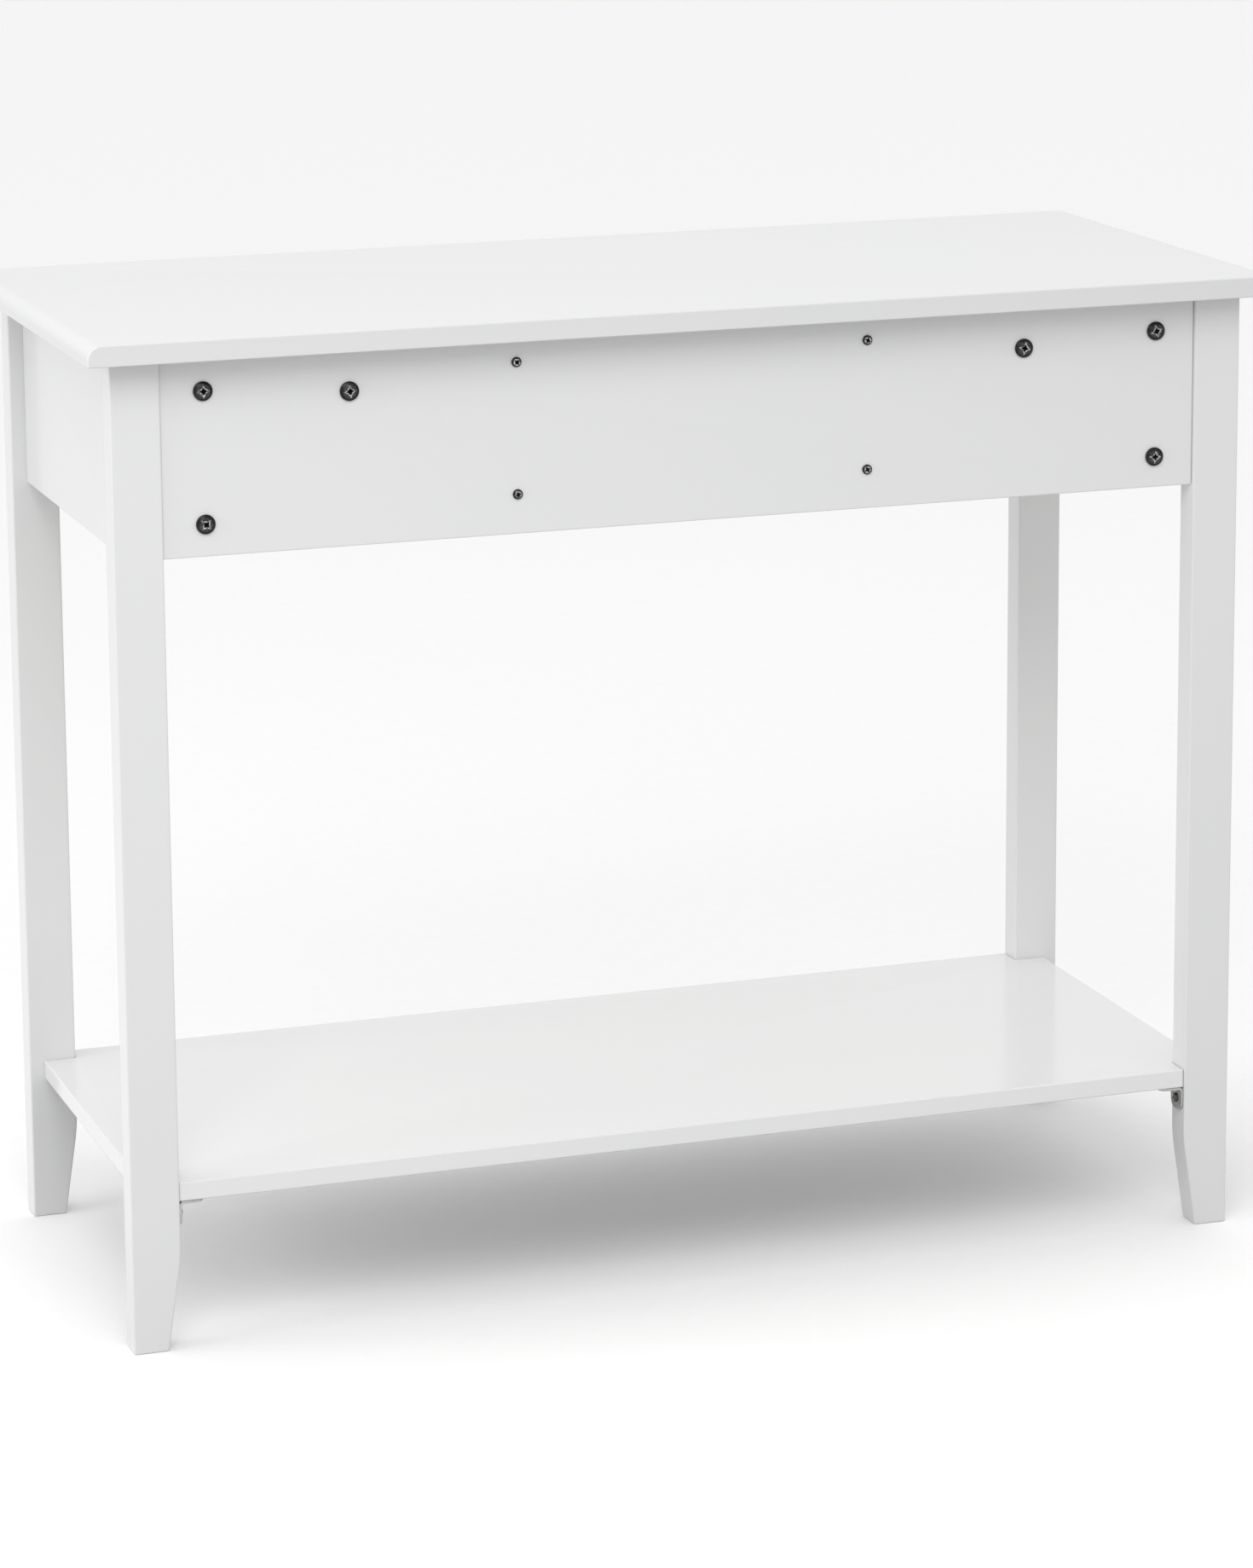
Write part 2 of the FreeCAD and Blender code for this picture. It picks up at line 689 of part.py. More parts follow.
def make_drawer(name, side):
    """A drawer: front, two sides, back, bottom, knob and stop clip."""
    centre = lane_step * side if side else ZERO
    x0 = centre - front_width / 2
    x1 = centre + front_width / 2
    in0 = x0 + d.drawer_side
    in1 = x1 - d.drawer_side
    front = board(name + "_front", (x0, face_y, front_low), (x1, box_front, front_high))
    front.slot("y", box_front, (x0, box_low), (in0, box_high), d.rebate_depth)
    front.slot("y", box_front, (in1, box_low), (x1, box_high), d.rebate_depth)
    front.slot("y", box_front, (in0, floor_low), (in1, floor_high), d.groove_depth)
    front.bore("y", box_front, [(centre, knob_z)], d.screw_shank + d.bore_play, d.board + 1)
    start = box_front - d.rebate_depth
    for label, low_x, high_x, inner in (("left", x0, in0, in0), ("right", in1, x1, in1)):
        wall = board("%s_side_%s" % (name, label), (low_x, start, box_low), (high_x, box_back, box_high))
        wall.slot("x", inner, (start, floor_low), (box_back, floor_high), d.groove_depth)
        wall.slot("x", inner, (back_front, floor_high), (back_rear, box_high), d.housing_depth)
    low = (in0 - d.housing_depth, back_front, floor_high)
    board(name + "_back", low, (in1 + d.housing_depth, back_rear, box_high))
    tongue = d.groove_depth - d.groove_play
    low = (in0 - tongue, box_front - tongue, floor_low)
    board(name + "_bottom", low, (in1 + tongue, back_rear, floor_low + d.drawer_floor))
    make_clip(name + "_stop_clip", centre)
    make_knob(name + "_knob", centre)


def make_clip(name, centre):
    """A push-on clip astride the drawer back; its upstand meets the top rail at full travel."""
    wall, grip = d.clip_wall, d.clip_grip
    clip = Piece(name, (centre - d.clip_width / 2, back_front - wall, box_high - grip))
    inner = wall
    outer = wall + d.drawer_side
    deep = outer + wall
    lip = deep - d.clip_upstand
    shape = clip.sketch("x")
    draw_outline(shape, [(ZERO, ZERO), (inner, ZERO), (inner, grip), (outer, grip), (outer, ZERO),
                         (deep, ZERO), (deep, grip + d.clip_rise), (lip, grip + d.clip_rise),
                         (lip, grip + wall), (ZERO, grip + wall)])
    clip.pad(shape, d.clip_width)
    clip.keep()


def make_knob(name, centre):
    """A turned knob with a waisted neck, bored for its screw."""
    turn = FreeCAD.Rotation(FreeCAD.Vector(1, 0, 0), 90)
    knob = Piece(name, (centre, face_y, knob_z), turn)
    bore = (d.screw_shank + d.bore_play) / 2
    neck = d.knob_neck / 2
    rim = d.knob_width / 2
    tall = d.knob_length
    knob.turned([(bore, ZERO), (neck * 1.3, ZERO), (neck, tall * 0.12), (neck, tall * 0.4),
                 (rim * 0.86, tall * 0.6), (rim, tall * 0.7), (rim, tall * 0.84),
                 (rim * 0.88, tall), (ZERO, tall), (ZERO, d.knob_bore_depth),
                 (bore, d.knob_bore_depth)])
    knob.keep()


def screw_form(name, shank, reach, head, rise):
    """One screw: head from z 0 up, shank down, with a cross recess."""
    form = Piece(name, (ZERO, ZERO, ZERO))
    r, q = shank / 2, head / 2
    form.turned([(ZERO, -reach), (r * 0.3, -reach), (r, r * 2 - reach), (r, ZERO), (q, ZERO),
                 (q, rise * 0.3), (q * 0.86, rise * 0.66), (q * 0.55, rise * 0.9),
                 (q * 0.3, rise), (ZERO, rise)])
    arm, slim = q * 0.52, q * 0.13
    cross = form.sketch("z", rise)
    draw_outline(cross, [(-arm, -slim), (-slim, -slim), (-slim, -arm), (slim, -arm), (slim, -slim),
                         (arm, -slim), (arm, slim), (slim, slim), (slim, arm), (-slim, arm),
                         (-slim, slim), (-arm, slim)])
    form.pocket(cross, rise * 0.55)
    return form.body


def group(name, members):
    """Separate like solids kept as one part."""
    made = doc.addObject("Part::Compound", name)
    made.Label = name
    made.Links = members
    NODES[name] = made


def turn(axis, angle):
    """A rotation about one of the frame's axes."""
    return FreeCAD.Rotation(FreeCAD.Vector(*[float(a == axis) for a in "xyz"]), angle)


def screws(name, form, spots):
    """A group of links to one screw, each at a head seat and turned into its material."""
    members = []
    for number, (at, rotation) in enumerate(spots):
        link = doc.addObject("App::Link", "%s_%d" % (name, number))
        link.LinkedObject = form
        place(link, at, rotation)
        members.append(link)
    group(name, members)


def dowels(name, width, reach, spots):
    """A group of round pegs, each about its middle along an axis."""
    members = []
    spin = {"x": turn("y", 90), "y": turn("x", -90), "z": turn("z", 0)}
    for number, (axis, at) in enumerate(spots):
        peg = doc.addObject("Part::Cylinder", "%s_%d" % (name, number))
        peg.Radius = width.value / 2
        bind(peg, "Radius", width / 2)
        peg.Height = reach.value
        bind(peg, "Height", reach)
        start = dict(zip("xyz", at))
        start[axis] = start[axis] - reach / 2
        place(peg, [start[a] for a in "xyz"], spin[axis])
        members.append(peg)
    group(name, members)


def make_stops():
    """A small block on the end of every runner, where a closed drawer side comes to rest."""
    members = []
    for number, (name, x0, x1) in enumerate(runner_spans()):
        block = doc.addObject("Part::Box", "closing_stop_%d" % number)
        spans = (("Length", d.runner_width), ("Width", d.runner_tail - d.slide_gap),
                 ("Height", d.stop_height))
        for prop, value in spans:
            setattr(block, prop, value.value)
            bind(block, prop, value)
        place(block, (x0, box_back + d.slide_gap, runner_top))
        members.append(block)
    group("closing_stops", members)


def make_fasteners():
    """Bolts, screws and dowels."""
    to_front = turn("x", -90)
    upward = turn("x", 180)
    inboard = {1: turn("y", -90), -1: turn("y", 90)}
    bolt = screw_form("bolt_form", d.bolt_shank, d.bolt_length, d.bolt_head, d.bolt_head_height)
    ends, middles = bolt_places()
    spots = [((x, panel_back, z), to_front) for x, z in ends + middles]
    screws("back_bolts", bolt, spots)

    def wood(name, reach):
        return screw_form(name, d.screw_shank, reach, d.screw_head, d.screw_head_height)
    spots = [((x, panel_back, z), to_front) for x, z in panel_screw_places()]
    screws("back_screws", wood("panel_screw_form", d.panel_screw_length), spots)
    spots = []
    for label, side in SIDES:
        for z in block_screw_heights():
            x = signed(side, leg_in - d.block_width)
            spots.append(((x, block_screw_y(), z), inboard[side]))
    screws("corner_block_screws", wood("block_screw_form", d.block_screw_length), spots)
    blocks, rails = top_screw_places()
    seat = frame_top + d.top_screw_bite - d.top_screw_length
    spots = [((x, y, seat), upward) for x, y in blocks]
    screws("top_block_screws", wood("top_screw_form", d.top_screw_length), spots)
    reach = d.board - d.rail_screw_sink + d.top_screw_bite
    spots = [((x, y, lane_high + d.rail_screw_sink), upward) for x, y in rails]
    screws("top_rail_screws", wood("rail_screw_form", reach), spots)
    spots = []
    for x, y, side, row in bracket_places():
        spots.append(((x, y, shelf_low - d.bracket_thick), upward))
        at = (signed(side, leg_in - d.bracket_thick), y, shelf_low - bracket_screw_reach)
        spots.append((at, inboard[side]))
    screws("bracket_screws", wood("bracket_screw_form", d.bracket_screw_length), spots)
    form = wood("knob_screw_form", d.board + d.knob_screw_bite)
    for label, side in DRAWERS:
        x = lane_step * side if side else ZERO
        screws(label + "_knob_screw", form, [((x, box_front, knob_z), to_front)])
    spots = []
    for label, side in SIDES:
        for y in (front_in, rear_in):
            spots += [("y", (signed(side, side_mid()), y, z)) for z in side_dowel_heights()]
        for z in (apron_low + d.board / 2, frame_top - d.board / 2):
            spots.append(("x", (signed(side, leg_in), rail_dowel_y(), z)))
    dowels("frame_dowels", d.dowel_width, d.dowel_length, spots)
    spots = []
    for label, side in SIDES:
        for z in (lane_low, lane_high):
            spots.append(("z", (signed(side, partition_x), face_y + d.pin_reach, z)))
    dowels("partition_dowels", d.pin_width, d.pin_length, spots)


DRAWERS = (("left_drawer", -1), ("middle_drawer", 0), ("right_drawer", 1))


def build():
    """Makes every part."""
    make_tabletop()
    for label, side in SIDES:
        make_leg("leg_front_" + label, side, False)
        make_leg("leg_rear_" + label, side, True)
        make_side_panel("side_panel_" + label, side)
        make_partition("partition_" + label, side)
        make_corner_block("corner_block_" + label, side)
        make_top_block("top_block_" + label, side)
    make_back_panel()
    rails = top_screw_places()[1]
    make_front_rail("front_top_rail", lane_high, frame_top, lane_high, rails)
    make_front_rail("front_bottom_rail", apron_low, lane_low, lane_low, [])
    make_shelf()
    for x, y, side, row in bracket_places():
        label = "right" if side > 0 else "left"
        make_bracket("shelf_bracket_%s_%s" % (row, label), side, y)
    make_runners()
    make_stops()
    for label, side in DRAWERS:
        make_drawer(label, side)
    make_fasteners()


def export():
    """Checks every object and writes one file for each part."""
    doc.recompute()
    faults = [o.Name for o in doc.Objects if "Invalid" in o.State or "Error" in o.State]
    if faults:
        raise RuntimeError("faulty objects: %s" % ", ".join(faults))
    for name, thing in sorted(NODES.items()):
        shape = thing.Shape
        if shape.isNull() or not shape.isValid():
            raise RuntimeError("faulty shape: %s" % name)
        shape.exportStep("parts/%s.step" % name)
        print("%s: %d solid(s), %.0f mm3" % (name, len(shape.Solids), shape.Volume))
    print("%d parts" % len(NODES))


build()
export()
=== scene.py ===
import math
import bmesh
import bpy
import numpy as np
from bpy.props import FloatProperty, FloatVectorProperty, PointerProperty
from mathutils import Matrix, Vector


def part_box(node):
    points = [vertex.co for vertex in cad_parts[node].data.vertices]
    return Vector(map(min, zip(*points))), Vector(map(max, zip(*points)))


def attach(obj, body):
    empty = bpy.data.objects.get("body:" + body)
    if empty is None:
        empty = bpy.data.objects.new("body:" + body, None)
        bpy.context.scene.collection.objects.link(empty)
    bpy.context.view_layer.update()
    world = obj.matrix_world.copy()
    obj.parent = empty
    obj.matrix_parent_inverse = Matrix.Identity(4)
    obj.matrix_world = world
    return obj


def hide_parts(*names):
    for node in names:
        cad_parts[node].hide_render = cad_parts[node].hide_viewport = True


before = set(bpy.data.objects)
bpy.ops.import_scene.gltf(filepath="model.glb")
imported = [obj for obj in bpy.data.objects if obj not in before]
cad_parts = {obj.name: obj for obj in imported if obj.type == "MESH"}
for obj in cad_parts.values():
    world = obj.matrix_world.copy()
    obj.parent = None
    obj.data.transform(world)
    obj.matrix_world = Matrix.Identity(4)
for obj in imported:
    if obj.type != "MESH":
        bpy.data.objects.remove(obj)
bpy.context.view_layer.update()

bl_info = {
    "name": "Console Table",
    "version": (1, 0, 0),
    "blender": (4, 5, 0),
    "location": "View3D > Sidebar > Console Table",
    "description": "Builds a lacquered console table with drawers and a low shelf round its packed model",
    "category": "Add Mesh",
}

MM = 0.001
QUARTER = math.pi / 2
SUPPORT = 0.5 * MM          # from a support ring or point to the rounding that it holds
LEAST_CORNER = 0.3 * MM     # smallest corner radius in plan of a leg or the tabletop
DRAWERS = ("left_drawer", "middle_drawer", "right_drawer")
SIDES = (("left", -1.0), ("right", 1.0))
BOLT_HEAD, BOLT_SHANK = 14.8 * MM, 6.0 * MM
SCREW_HEAD, SCREW_SHANK = 7.8 * MM, 4.0 * MM
PAN_RISE = 2.6 * MM         # height of a pan head
FLOOR_BOUNCE = 0.5          # share of the floor's colour that it throws back on the table


# ---- sizes and colours a user changes

def millimetres(name, text, value):
    """A length property in metres whose default is given in millimetres."""
    return FloatProperty(name=name, description=text, default=value * MM, min=0.0, unit="LENGTH",
                         precision=5)


def colour(name, text, value):
    """A colour property."""
    return FloatVectorProperty(name=name, description=text, default=value, size=3, min=0.0, max=1.0,
                               subtype="COLOR")


class ConsoleSizes(bpy.types.PropertyGroup):
    """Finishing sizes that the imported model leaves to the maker."""

    top_round: millimetres("Top round-over", "Round-over on the front and ends of the tabletop", 10.0)
    top_corner: millimetres("Top corner", "Radius of the tabletop's corners in plan", 2.5)
    board_ease: millimetres("Board ease", "Rounding of the long edges of panels and rails", 0.8)
    shelf_ease: millimetres("Shelf ease", "Rounding of the shelf's edges", 1.0)
    leg_ease: millimetres("Leg ease", "Rounding of the legs' edges", 1.6)
    foot_width: millimetres("Foot width", "Width of a leg at the floor, along the table", 27.0)
    taper_height: millimetres("Taper height", "Height over which a foot tapers", 73.0)
    drawer_ease: millimetres("Drawer ease", "Rounding of the drawer fronts' edges", 1.5)
    box_ease: millimetres("Box ease", "Rounding of drawer sides, backs and runners", 0.6)
    recess_reach: millimetres("Recess reach", "Reach of the arms of a bolt's cross recess", 3.7)
    recess_depth: millimetres("Recess depth", "Depth of a bolt's cross recess", 2.6)
    peel_width: millimetres("Orange peel", "Width of the ripple left by spraying", 2.6)
    wave_width: millimetres("Board wave", "Width of the slow wave under the lacquer", 95.0)


class ConsoleColours(bpy.types.PropertyGroup):
    """Colours of the finishes."""

    lacquer: colour("Lacquer", "White lacquer of the table", (0.765, 0.767, 0.771))
    drawer_light: colour("Drawer wood, light", "Early wood of the drawer boxes", (0.74, 0.6, 0.42))
    drawer_dark: colour("Drawer wood, dark", "Late wood of the drawer boxes", (0.56, 0.41, 0.25))
    pine_light: colour("Pine, light", "Early wood of blocks and runners", (0.8, 0.66, 0.43))
    pine_dark: colour("Pine, dark", "Late wood of blocks and runners", (0.62, 0.42, 0.22))
    nickel: colour("Nickel", "Satin plate of knobs and shelf brackets", (0.42, 0.417, 0.41))
    black_steel: colour("Black steel", "Oxide finish of the back panel's bolts", (0.022, 0.022, 0.023))
    zinc: colour("Zinc", "Plate of the hidden screws", (0.52, 0.53, 0.55))
    floor: colour("Floor", "Studio floor", (1.0, 1.0, 1.0))


# ---- surfaces

def box(node):
    """Lowest and highest corner of a CAD node as arrays, in metres."""
    low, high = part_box(node)
    return np.array(low), np.array(high)


def ring(outline, inset, radius, steps=6):
    """A right-angled outline, pulled in and rounded, as points in order.

    Corner: c = p + di ni + do no, where ni and no are the inward normals of the edges that meet at p
    and di and do their insets. Arc: (1-t)^2 (c - r a) + 2t(1-t) c + t^2 (c + r b) for t from 0 to 1,
    with a the way in and b the way out. One support point stands before and one after each arc.
    """
    p = np.asarray(outline, float)
    out = np.roll(p, -1, 0) - p
    b = out / np.linalg.norm(out, axis=1, keepdims=True)
    a = np.roll(b, 1, 0)
    turn = np.stack([-b[:, 1], b[:, 0]], 1)
    back = np.roll(turn, 1, 0)
    pull = np.broadcast_to(np.asarray(inset, float), (len(p),))[:, None]
    c = p + np.roll(pull, 1, 0) * back + pull * turn
    t = np.linspace(0.0, 1.0, steps)[None, :, None]
    start, end = (c - a * radius)[:, None], (c + b * radius)[:, None]
    arc = (1 - t) ** 2 * start + 2 * t * (1 - t) * c[:, None] + t ** 2 * end
    first = (c - a * (radius + SUPPORT))[:, None]
    last = (c + b * (radius + SUPPORT))[:, None]
    return np.concatenate([first, arc, last], 1).reshape(-1, 2)


def corner_mask(corners, steps=6):
    """1 on the arc points of a ring and 0 on its support points."""
    one = np.concatenate([[0.0], np.ones(steps), [0.0]])
    return np.tile(one, corners)


def eased_levels(low, high, ease, steps=5):
    """Heights, insets and edge mask of a board's rings from its lower to its upper face.

    Lower edge: z = low + e (1 - cos q), inset = e (1 - sin q) for q from 0 to 90 degrees; the upper edge
    mirrors it, and a support ring stands inside each face and beside each edge.
    """
    q = np.linspace(0.0, QUARTER, steps)
    z = np.concatenate([[0.0], ease * (1 - np.cos(q)), [ease + SUPPORT]])
    inset = np.concatenate([[ease + SUPPORT], ease * (1 - np.sin(q)), [0.0]])
    mask = np.concatenate([[0.0], np.ones(steps), [0.0]])
    return (np.concatenate([low + z, (high - z)[::-1]]), np.concatenate([inset, inset[::-1]]),
            np.concatenate([mask, mask[::-1]]))


def lifted(rings, heights):
    """Rings of (u, v) points with their heights as a third coordinate."""
    return np.concatenate([rings, np.broadcast_to(heights[:, None, None], rings.shape[:2] + (1,))], 2)


def mesh_of(points, faces, smooth, mask):
    """A mesh with its edge mask on its points; put gives it its name."""
    mesh = bpy.data.meshes.new("piece")
    mesh.from_pydata(points.reshape(-1, 3), [], faces)
    mesh.polygons.foreach_set("use_smooth", smooth)
    edge = mesh.attributes.new("edge", "FLOAT", "POINT")
    edge.data.foreach_set("value", np.broadcast_to(mask, points.shape[:-1]).reshape(-1).astype(np.float32))
    return mesh


def shell(grid, mask, flip=False):
    """A mesh from a grid of rings: grid[i, j] is point j of ring i, and each ring is closed.

    Flat faces close the first and last ring.
    """
    rows, cols = grid.shape[:2]
    index = np.arange(rows * cols).reshape(rows, cols)
    lower, upper = index[:-1], index[1:]
    quads = np.stack([lower, np.roll(lower, -1, 1), np.roll(upper, -1, 1), upper], 2).reshape(-1, 4)
    faces = quads.tolist() + [index[0, ::-1].tolist(), index[-1].tolist()]
    if flip:
        faces = [face[::-1] for face in faces]
    mesh = mesh_of(grid, faces, [True] * len(quads) + [False, False], mask)
    mesh.validate()
    mesh.update()
    return mesh


AXES = {"x": ((2, 0, 1), False), "y": ((0, 2, 1), True), "z": ((0, 1, 2), False)}


def prism(outline, low, high, ease, axis="z"):
    """A board: a plan outline carried along an axis, with every edge rounded.

    Point (i, j) is point j of the outline's ring at height z_i with inset d_i; the corner radius in
    plan is e - d_i, never under a fifth of a millimetre. axis x takes the outline as (y, z), axis y
    as (x, z).
    """
    z, inset, mask = eased_levels(low, high, ease)
    rings = np.stack([ring(outline, d, max(ease - d, 0.2 * MM)) for d in inset])
    marks = np.maximum(mask[:, None], corner_mask(len(outline))[None, :])
    order, flip = AXES[axis]
    return shell(lifted(rings, z)[:, :, list(order)], marks, flip=flip)


def rectangle(u0, v0, u1, v1):
    """Four corners, anticlockwise."""
    return [(u0, v0), (u1, v0), (u1, v1), (u0, v1)]


def board(node, ease, axis="z", shorter=0.0):
    """A board that fills a CAD node's box, carried along an axis; shorter is taken off each end in x."""
    low, high = box(node)
    low[0] += shorter
    high[0] -= shorter
    u, v = {"x": (1, 2), "y": (0, 2), "z": (0, 1)}[axis]
    w = "xyz".index(axis)
    return prism(rectangle(low[u], low[v], high[u], high[v]), low[w], high[w], ease, axis)


def frames(places, outward, spins):
    """Rotation rows for like pieces: local z along outward, turned about it by each spin."""
    z = np.asarray(outward, float)
    side = np.array([1.0, 0.0, 0.0]) if abs(z[0]) < 0.9 else np.array([0.0, 1.0, 0.0])
    x = np.cross(side, z)
    x /= np.linalg.norm(x)
    y = np.cross(z, x)
    spins = np.asarray(spins, float)
    c, s = np.cos(spins)[:, None], np.sin(spins)[:, None]
    return np.stack([c * x + s * y, c * y - s * x, np.broadcast_to(z, (len(places), 3))], 1)


def merged(grids, mask):
    """One mesh from several like grids, each closed at its poles, joined without loops over points."""
    grids = np.asarray(grids)
    count, rows, cols = grids.shape[:3]
    index = np.arange(count * rows * cols).reshape(count, rows, cols)
    a, b = index[:, :-1], index[:, 1:]
    quads = np.stack([a, np.roll(a, -1, 2), np.roll(b, -1, 2), b], 3).reshape(-1, 4)
    mesh = mesh_of(grids, quads.tolist(), [True] * len(quads), mask)
    seal(mesh)
    return mesh


def seal(mesh):
    """Merges a mesh's doubled points and turns its faces outwards."""
    work = bmesh.new()
    work.from_mesh(mesh)
    bmesh.ops.remove_doubles(work, verts=work.verts, dist=1e-6)
    bmesh.ops.recalc_face_normals(work, faces=work.faces)
    work.to_mesh(mesh)
    work.free()
    mesh.validate()
    mesh.update()


def smooth_step(edge0, edge1, value):
    """0 below edge0, 1 above edge1 and 3t^2 - 2t^3 between."""
    t = np.clip((value - edge0) / (edge1 - edge0), 0.0, 1.0)
    return t * t * (3 - 2 * t)


def screw_grid(head, rise, shank, reach, arm, depth, face=0.0, around=96):
    """A cross-recessed screw as one surface of revolution, head upwards from z 0, shank down.

    Head: r = 0.94 R s, z = h (1 - 0.42 s^2.6) for s from 0 to 1, then a rounded rim down to z 0, the seat,
    the shank and the tip. Recess: a four-pointed star f = (|x|^p + |y|^p)^(1/p) with p 0.66; inside
    f < arm the surface falls by depth (1 - f / arm)^0.6, with four flutes cut deeper along the arms.
    The edge mask is 1 on the lip of the star, face on the rest of the head and 0 towards the rim.
    Where it is high the head is coloured as lighter metal, partly wear and partly a painted highlight
    round the recess.
    """
    big, small = head / 2, shank / 2
    s = np.linspace(0.0, 1.0, 40)
    r_top = 0.94 * big * s
    z_top = rise * (1 - 0.42 * s ** 2.6)
    q = np.linspace(0.15, 1.0, 7) * QUARTER
    r_rim = 0.94 * big + 0.06 * big * np.sin(q)
    z_rim = z_top[-1] * (0.5 + 0.5 * np.cos(q))
    r_low = np.array([big, big * 0.985, small * 1.02, small, small, small * 0.45, 0.0])
    z_low = np.array([0.12 * rise, 0.0, 0.0, -0.2 * rise, -reach + 2 * small, -reach, -reach])
    r = np.concatenate([r_top, r_rim, r_low])
    z = np.concatenate([z_top, z_rim, z_low])
    angle = np.linspace(0.0, 2 * math.pi, around, endpoint=False)
    x = r[:, None] * np.cos(angle)[None]
    y = r[:, None] * np.sin(angle)[None]
    power = 0.66
    star = (abs(x) ** power + abs(y) ** power) ** (1 / power) / arm
    inside = np.clip(1 - star, 0.0, 1.0)
    near = np.minimum(abs(x), abs(y))
    flute = (1 - smooth_step(0.05 * arm, 0.16 * arm, near)) * smooth_step(0.0, 0.25, inside)
    top = (np.arange(len(r)) < len(r_top))[:, None]
    z = z[:, None] - np.where(top, depth * (0.72 * inside ** 0.6 + 0.28 * flute), 0.0)
    # lip and head face to be coloured as lighter metal: partly wear, partly a painted highlight round the
    # recess
    lip = smooth_step(0.82, 1.0, star) * (1 - smooth_step(1.25, 1.8, star))
    rim = smooth_step(0.62, 0.8, r / big)[:, None]
    worn = np.maximum(lip, face * smooth_step(1.0, 1.15, star)) * (1 - rim)
    mark = np.where(top, worn, 0.0)
    return np.stack([x, y, z], 2), mark


def placed(grid, places, turns):
    """Copies of a grid at each place: p = place + x X + y Y + z Z."""
    return np.einsum("rcl,nlk->nrck", grid, turns) + np.asarray(places)[:, None, None, :]


# ---- materials

class Net:
    """A node tree with short ways to add and join nodes."""

    def __init__(self, tree):
        self.tree = tree
        self.column = 0

    def add(self, kind, values=(), **settings):
        """A node with its settings, and its inputs filled with values or joined to sockets."""
        node = self.tree.nodes.new(kind)
        self.column += 1
        node.location = (180 * (self.column % 12), -260 * (self.column // 12))
        for key, value in settings.items():
            setattr(node, key, value)
        for key, value in dict(values).items():
            self.feed(node.inputs[key], value)
        return node

    def feed(self, socket, value):
        """Joins a socket, or sets a plain value."""
        if isinstance(value, bpy.types.NodeSocket):
            self.tree.links.new(value, socket)
        elif socket.type == "RGBA" and len(value) == 3:
            socket.default_value = (*value, 1.0)
        else:
            socket.default_value = value

    def maths(self, operation, *values, clamp=False):
        """A Math node's result."""
        node = self.add("ShaderNodeMath", operation=operation, use_clamp=clamp)
        for socket, value in zip(node.inputs, values):
            self.feed(socket, value)
        return node.outputs[0]

    def over(self, number, value):
        """number / value"""
        return self.maths("DIVIDE", number, value)

    def times(self, first, second, clamp=False):
        """first x second"""
        return self.maths("MULTIPLY", first, second, clamp=clamp)

    def times_plus(self, first, second, third, clamp=False):
        """first x second + third"""
        return self.maths("MULTIPLY_ADD", first, second, third, clamp=clamp)

    def mapped(self, vector, scale=(1.0, 1.0, 1.0), turn=(0.0, 0.0, 0.0)):
        """Coordinates turned, then stretched along each axis."""
        node = self.add("ShaderNodeMapping", {"Vector": vector, "Rotation": turn, "Scale": scale})
        return node.outputs[0]

    def noise(self, vector, scale, detail=2.0, roughness=0.5):
        """Noise from 0 to 1."""
        node = self.add("ShaderNodeTexNoise", {"Vector": vector, "Scale": scale, "Detail": detail,
                                               "Roughness": roughness})
        return node.outputs[0]

    def ranged(self, value, low, high, start=0.0, end=1.0):
        """A value mapped from one range to another and held there."""
        node = self.add("ShaderNodeMapRange", {"Value": value, "From Min": low, "From Max": high,
                                               "To Min": start, "To Max": end})
        return node.outputs[0]

    def blend(self, factor, first, second):
        """A mix of two colours."""
        node = self.add("ShaderNodeMix", data_type="RGBA")
        self.feed(node.inputs[0], factor)
        self.feed(node.inputs[6], first)
        self.feed(node.inputs[7], second)
        return node.outputs[2]


def new_group(name, inputs, outputs):
    """An empty shader group with named sockets; gives its net, its input sockets and its output node."""
    tree = bpy.data.node_groups.new(name, "ShaderNodeTree")
    for label, kind, default in inputs:
        socket = tree.interface.new_socket(name=label, in_out="INPUT", socket_type="NodeSocket" + kind)
        if default is not None:
            socket.default_value = default
    for label, kind in outputs:
        tree.interface.new_socket(name=label, in_out="OUTPUT", socket_type="NodeSocket" + kind)
    net = Net(tree)
    start = net.add("NodeGroupInput")
    end = net.add("NodeGroupOutput")
    return tree, net, start.outputs, end.inputs


def sprayed_skin_group():
    """Sprayed lacquer: fine orange peel, a slow wave, sparse nibs and a patchy gloss."""
    tree, net, given, result = new_group(
        "sprayed_skin",
        (("Position", "Vector", None), ("Peel Width", "Float", 0.0026), ("Peel Depth", "Float", 3e-6),
         ("Wave Width", "Float", 0.095), ("Wave Depth", "Float", 3e-5), ("Nib Spacing", "Float", 0.03)),
        (("Height", "Float"), ("Patches", "Float"), ("Nibs", "Float")))
    place = given["Position"]
    peel = net.noise(place, net.over(1.0, given["Peel Width"]), 1.5, 0.45)
    wave = net.noise(place, net.over(1.0, given["Wave Width"]), 1.0, 0.4)
    cells = net.add("ShaderNodeTexVoronoi",
                    {"Vector": place, "Scale": net.over(1.0, given["Nib Spacing"])})
    chosen = net.add("ShaderNodeSeparateColor", {"Color": cells.outputs["Color"]})
    nib = net.ranged(cells.outputs["Distance"], 0.008, 0.016, 1.0, 0.0)
    nib = net.times(nib, net.maths("GREATER_THAN", chosen.outputs[0], 0.8))
    height = net.times(peel, given["Peel Depth"])
    height = net.times_plus(wave, given["Wave Depth"], height)
    height = net.times_plus(nib, 1.2e-5, height)
    net.feed(result["Height"], height)
    net.feed(result["Patches"], net.noise(place, net.over(0.5, given["Wave Width"]), 2.0, 0.5))
    net.feed(result["Nibs"], nib)
    return tree


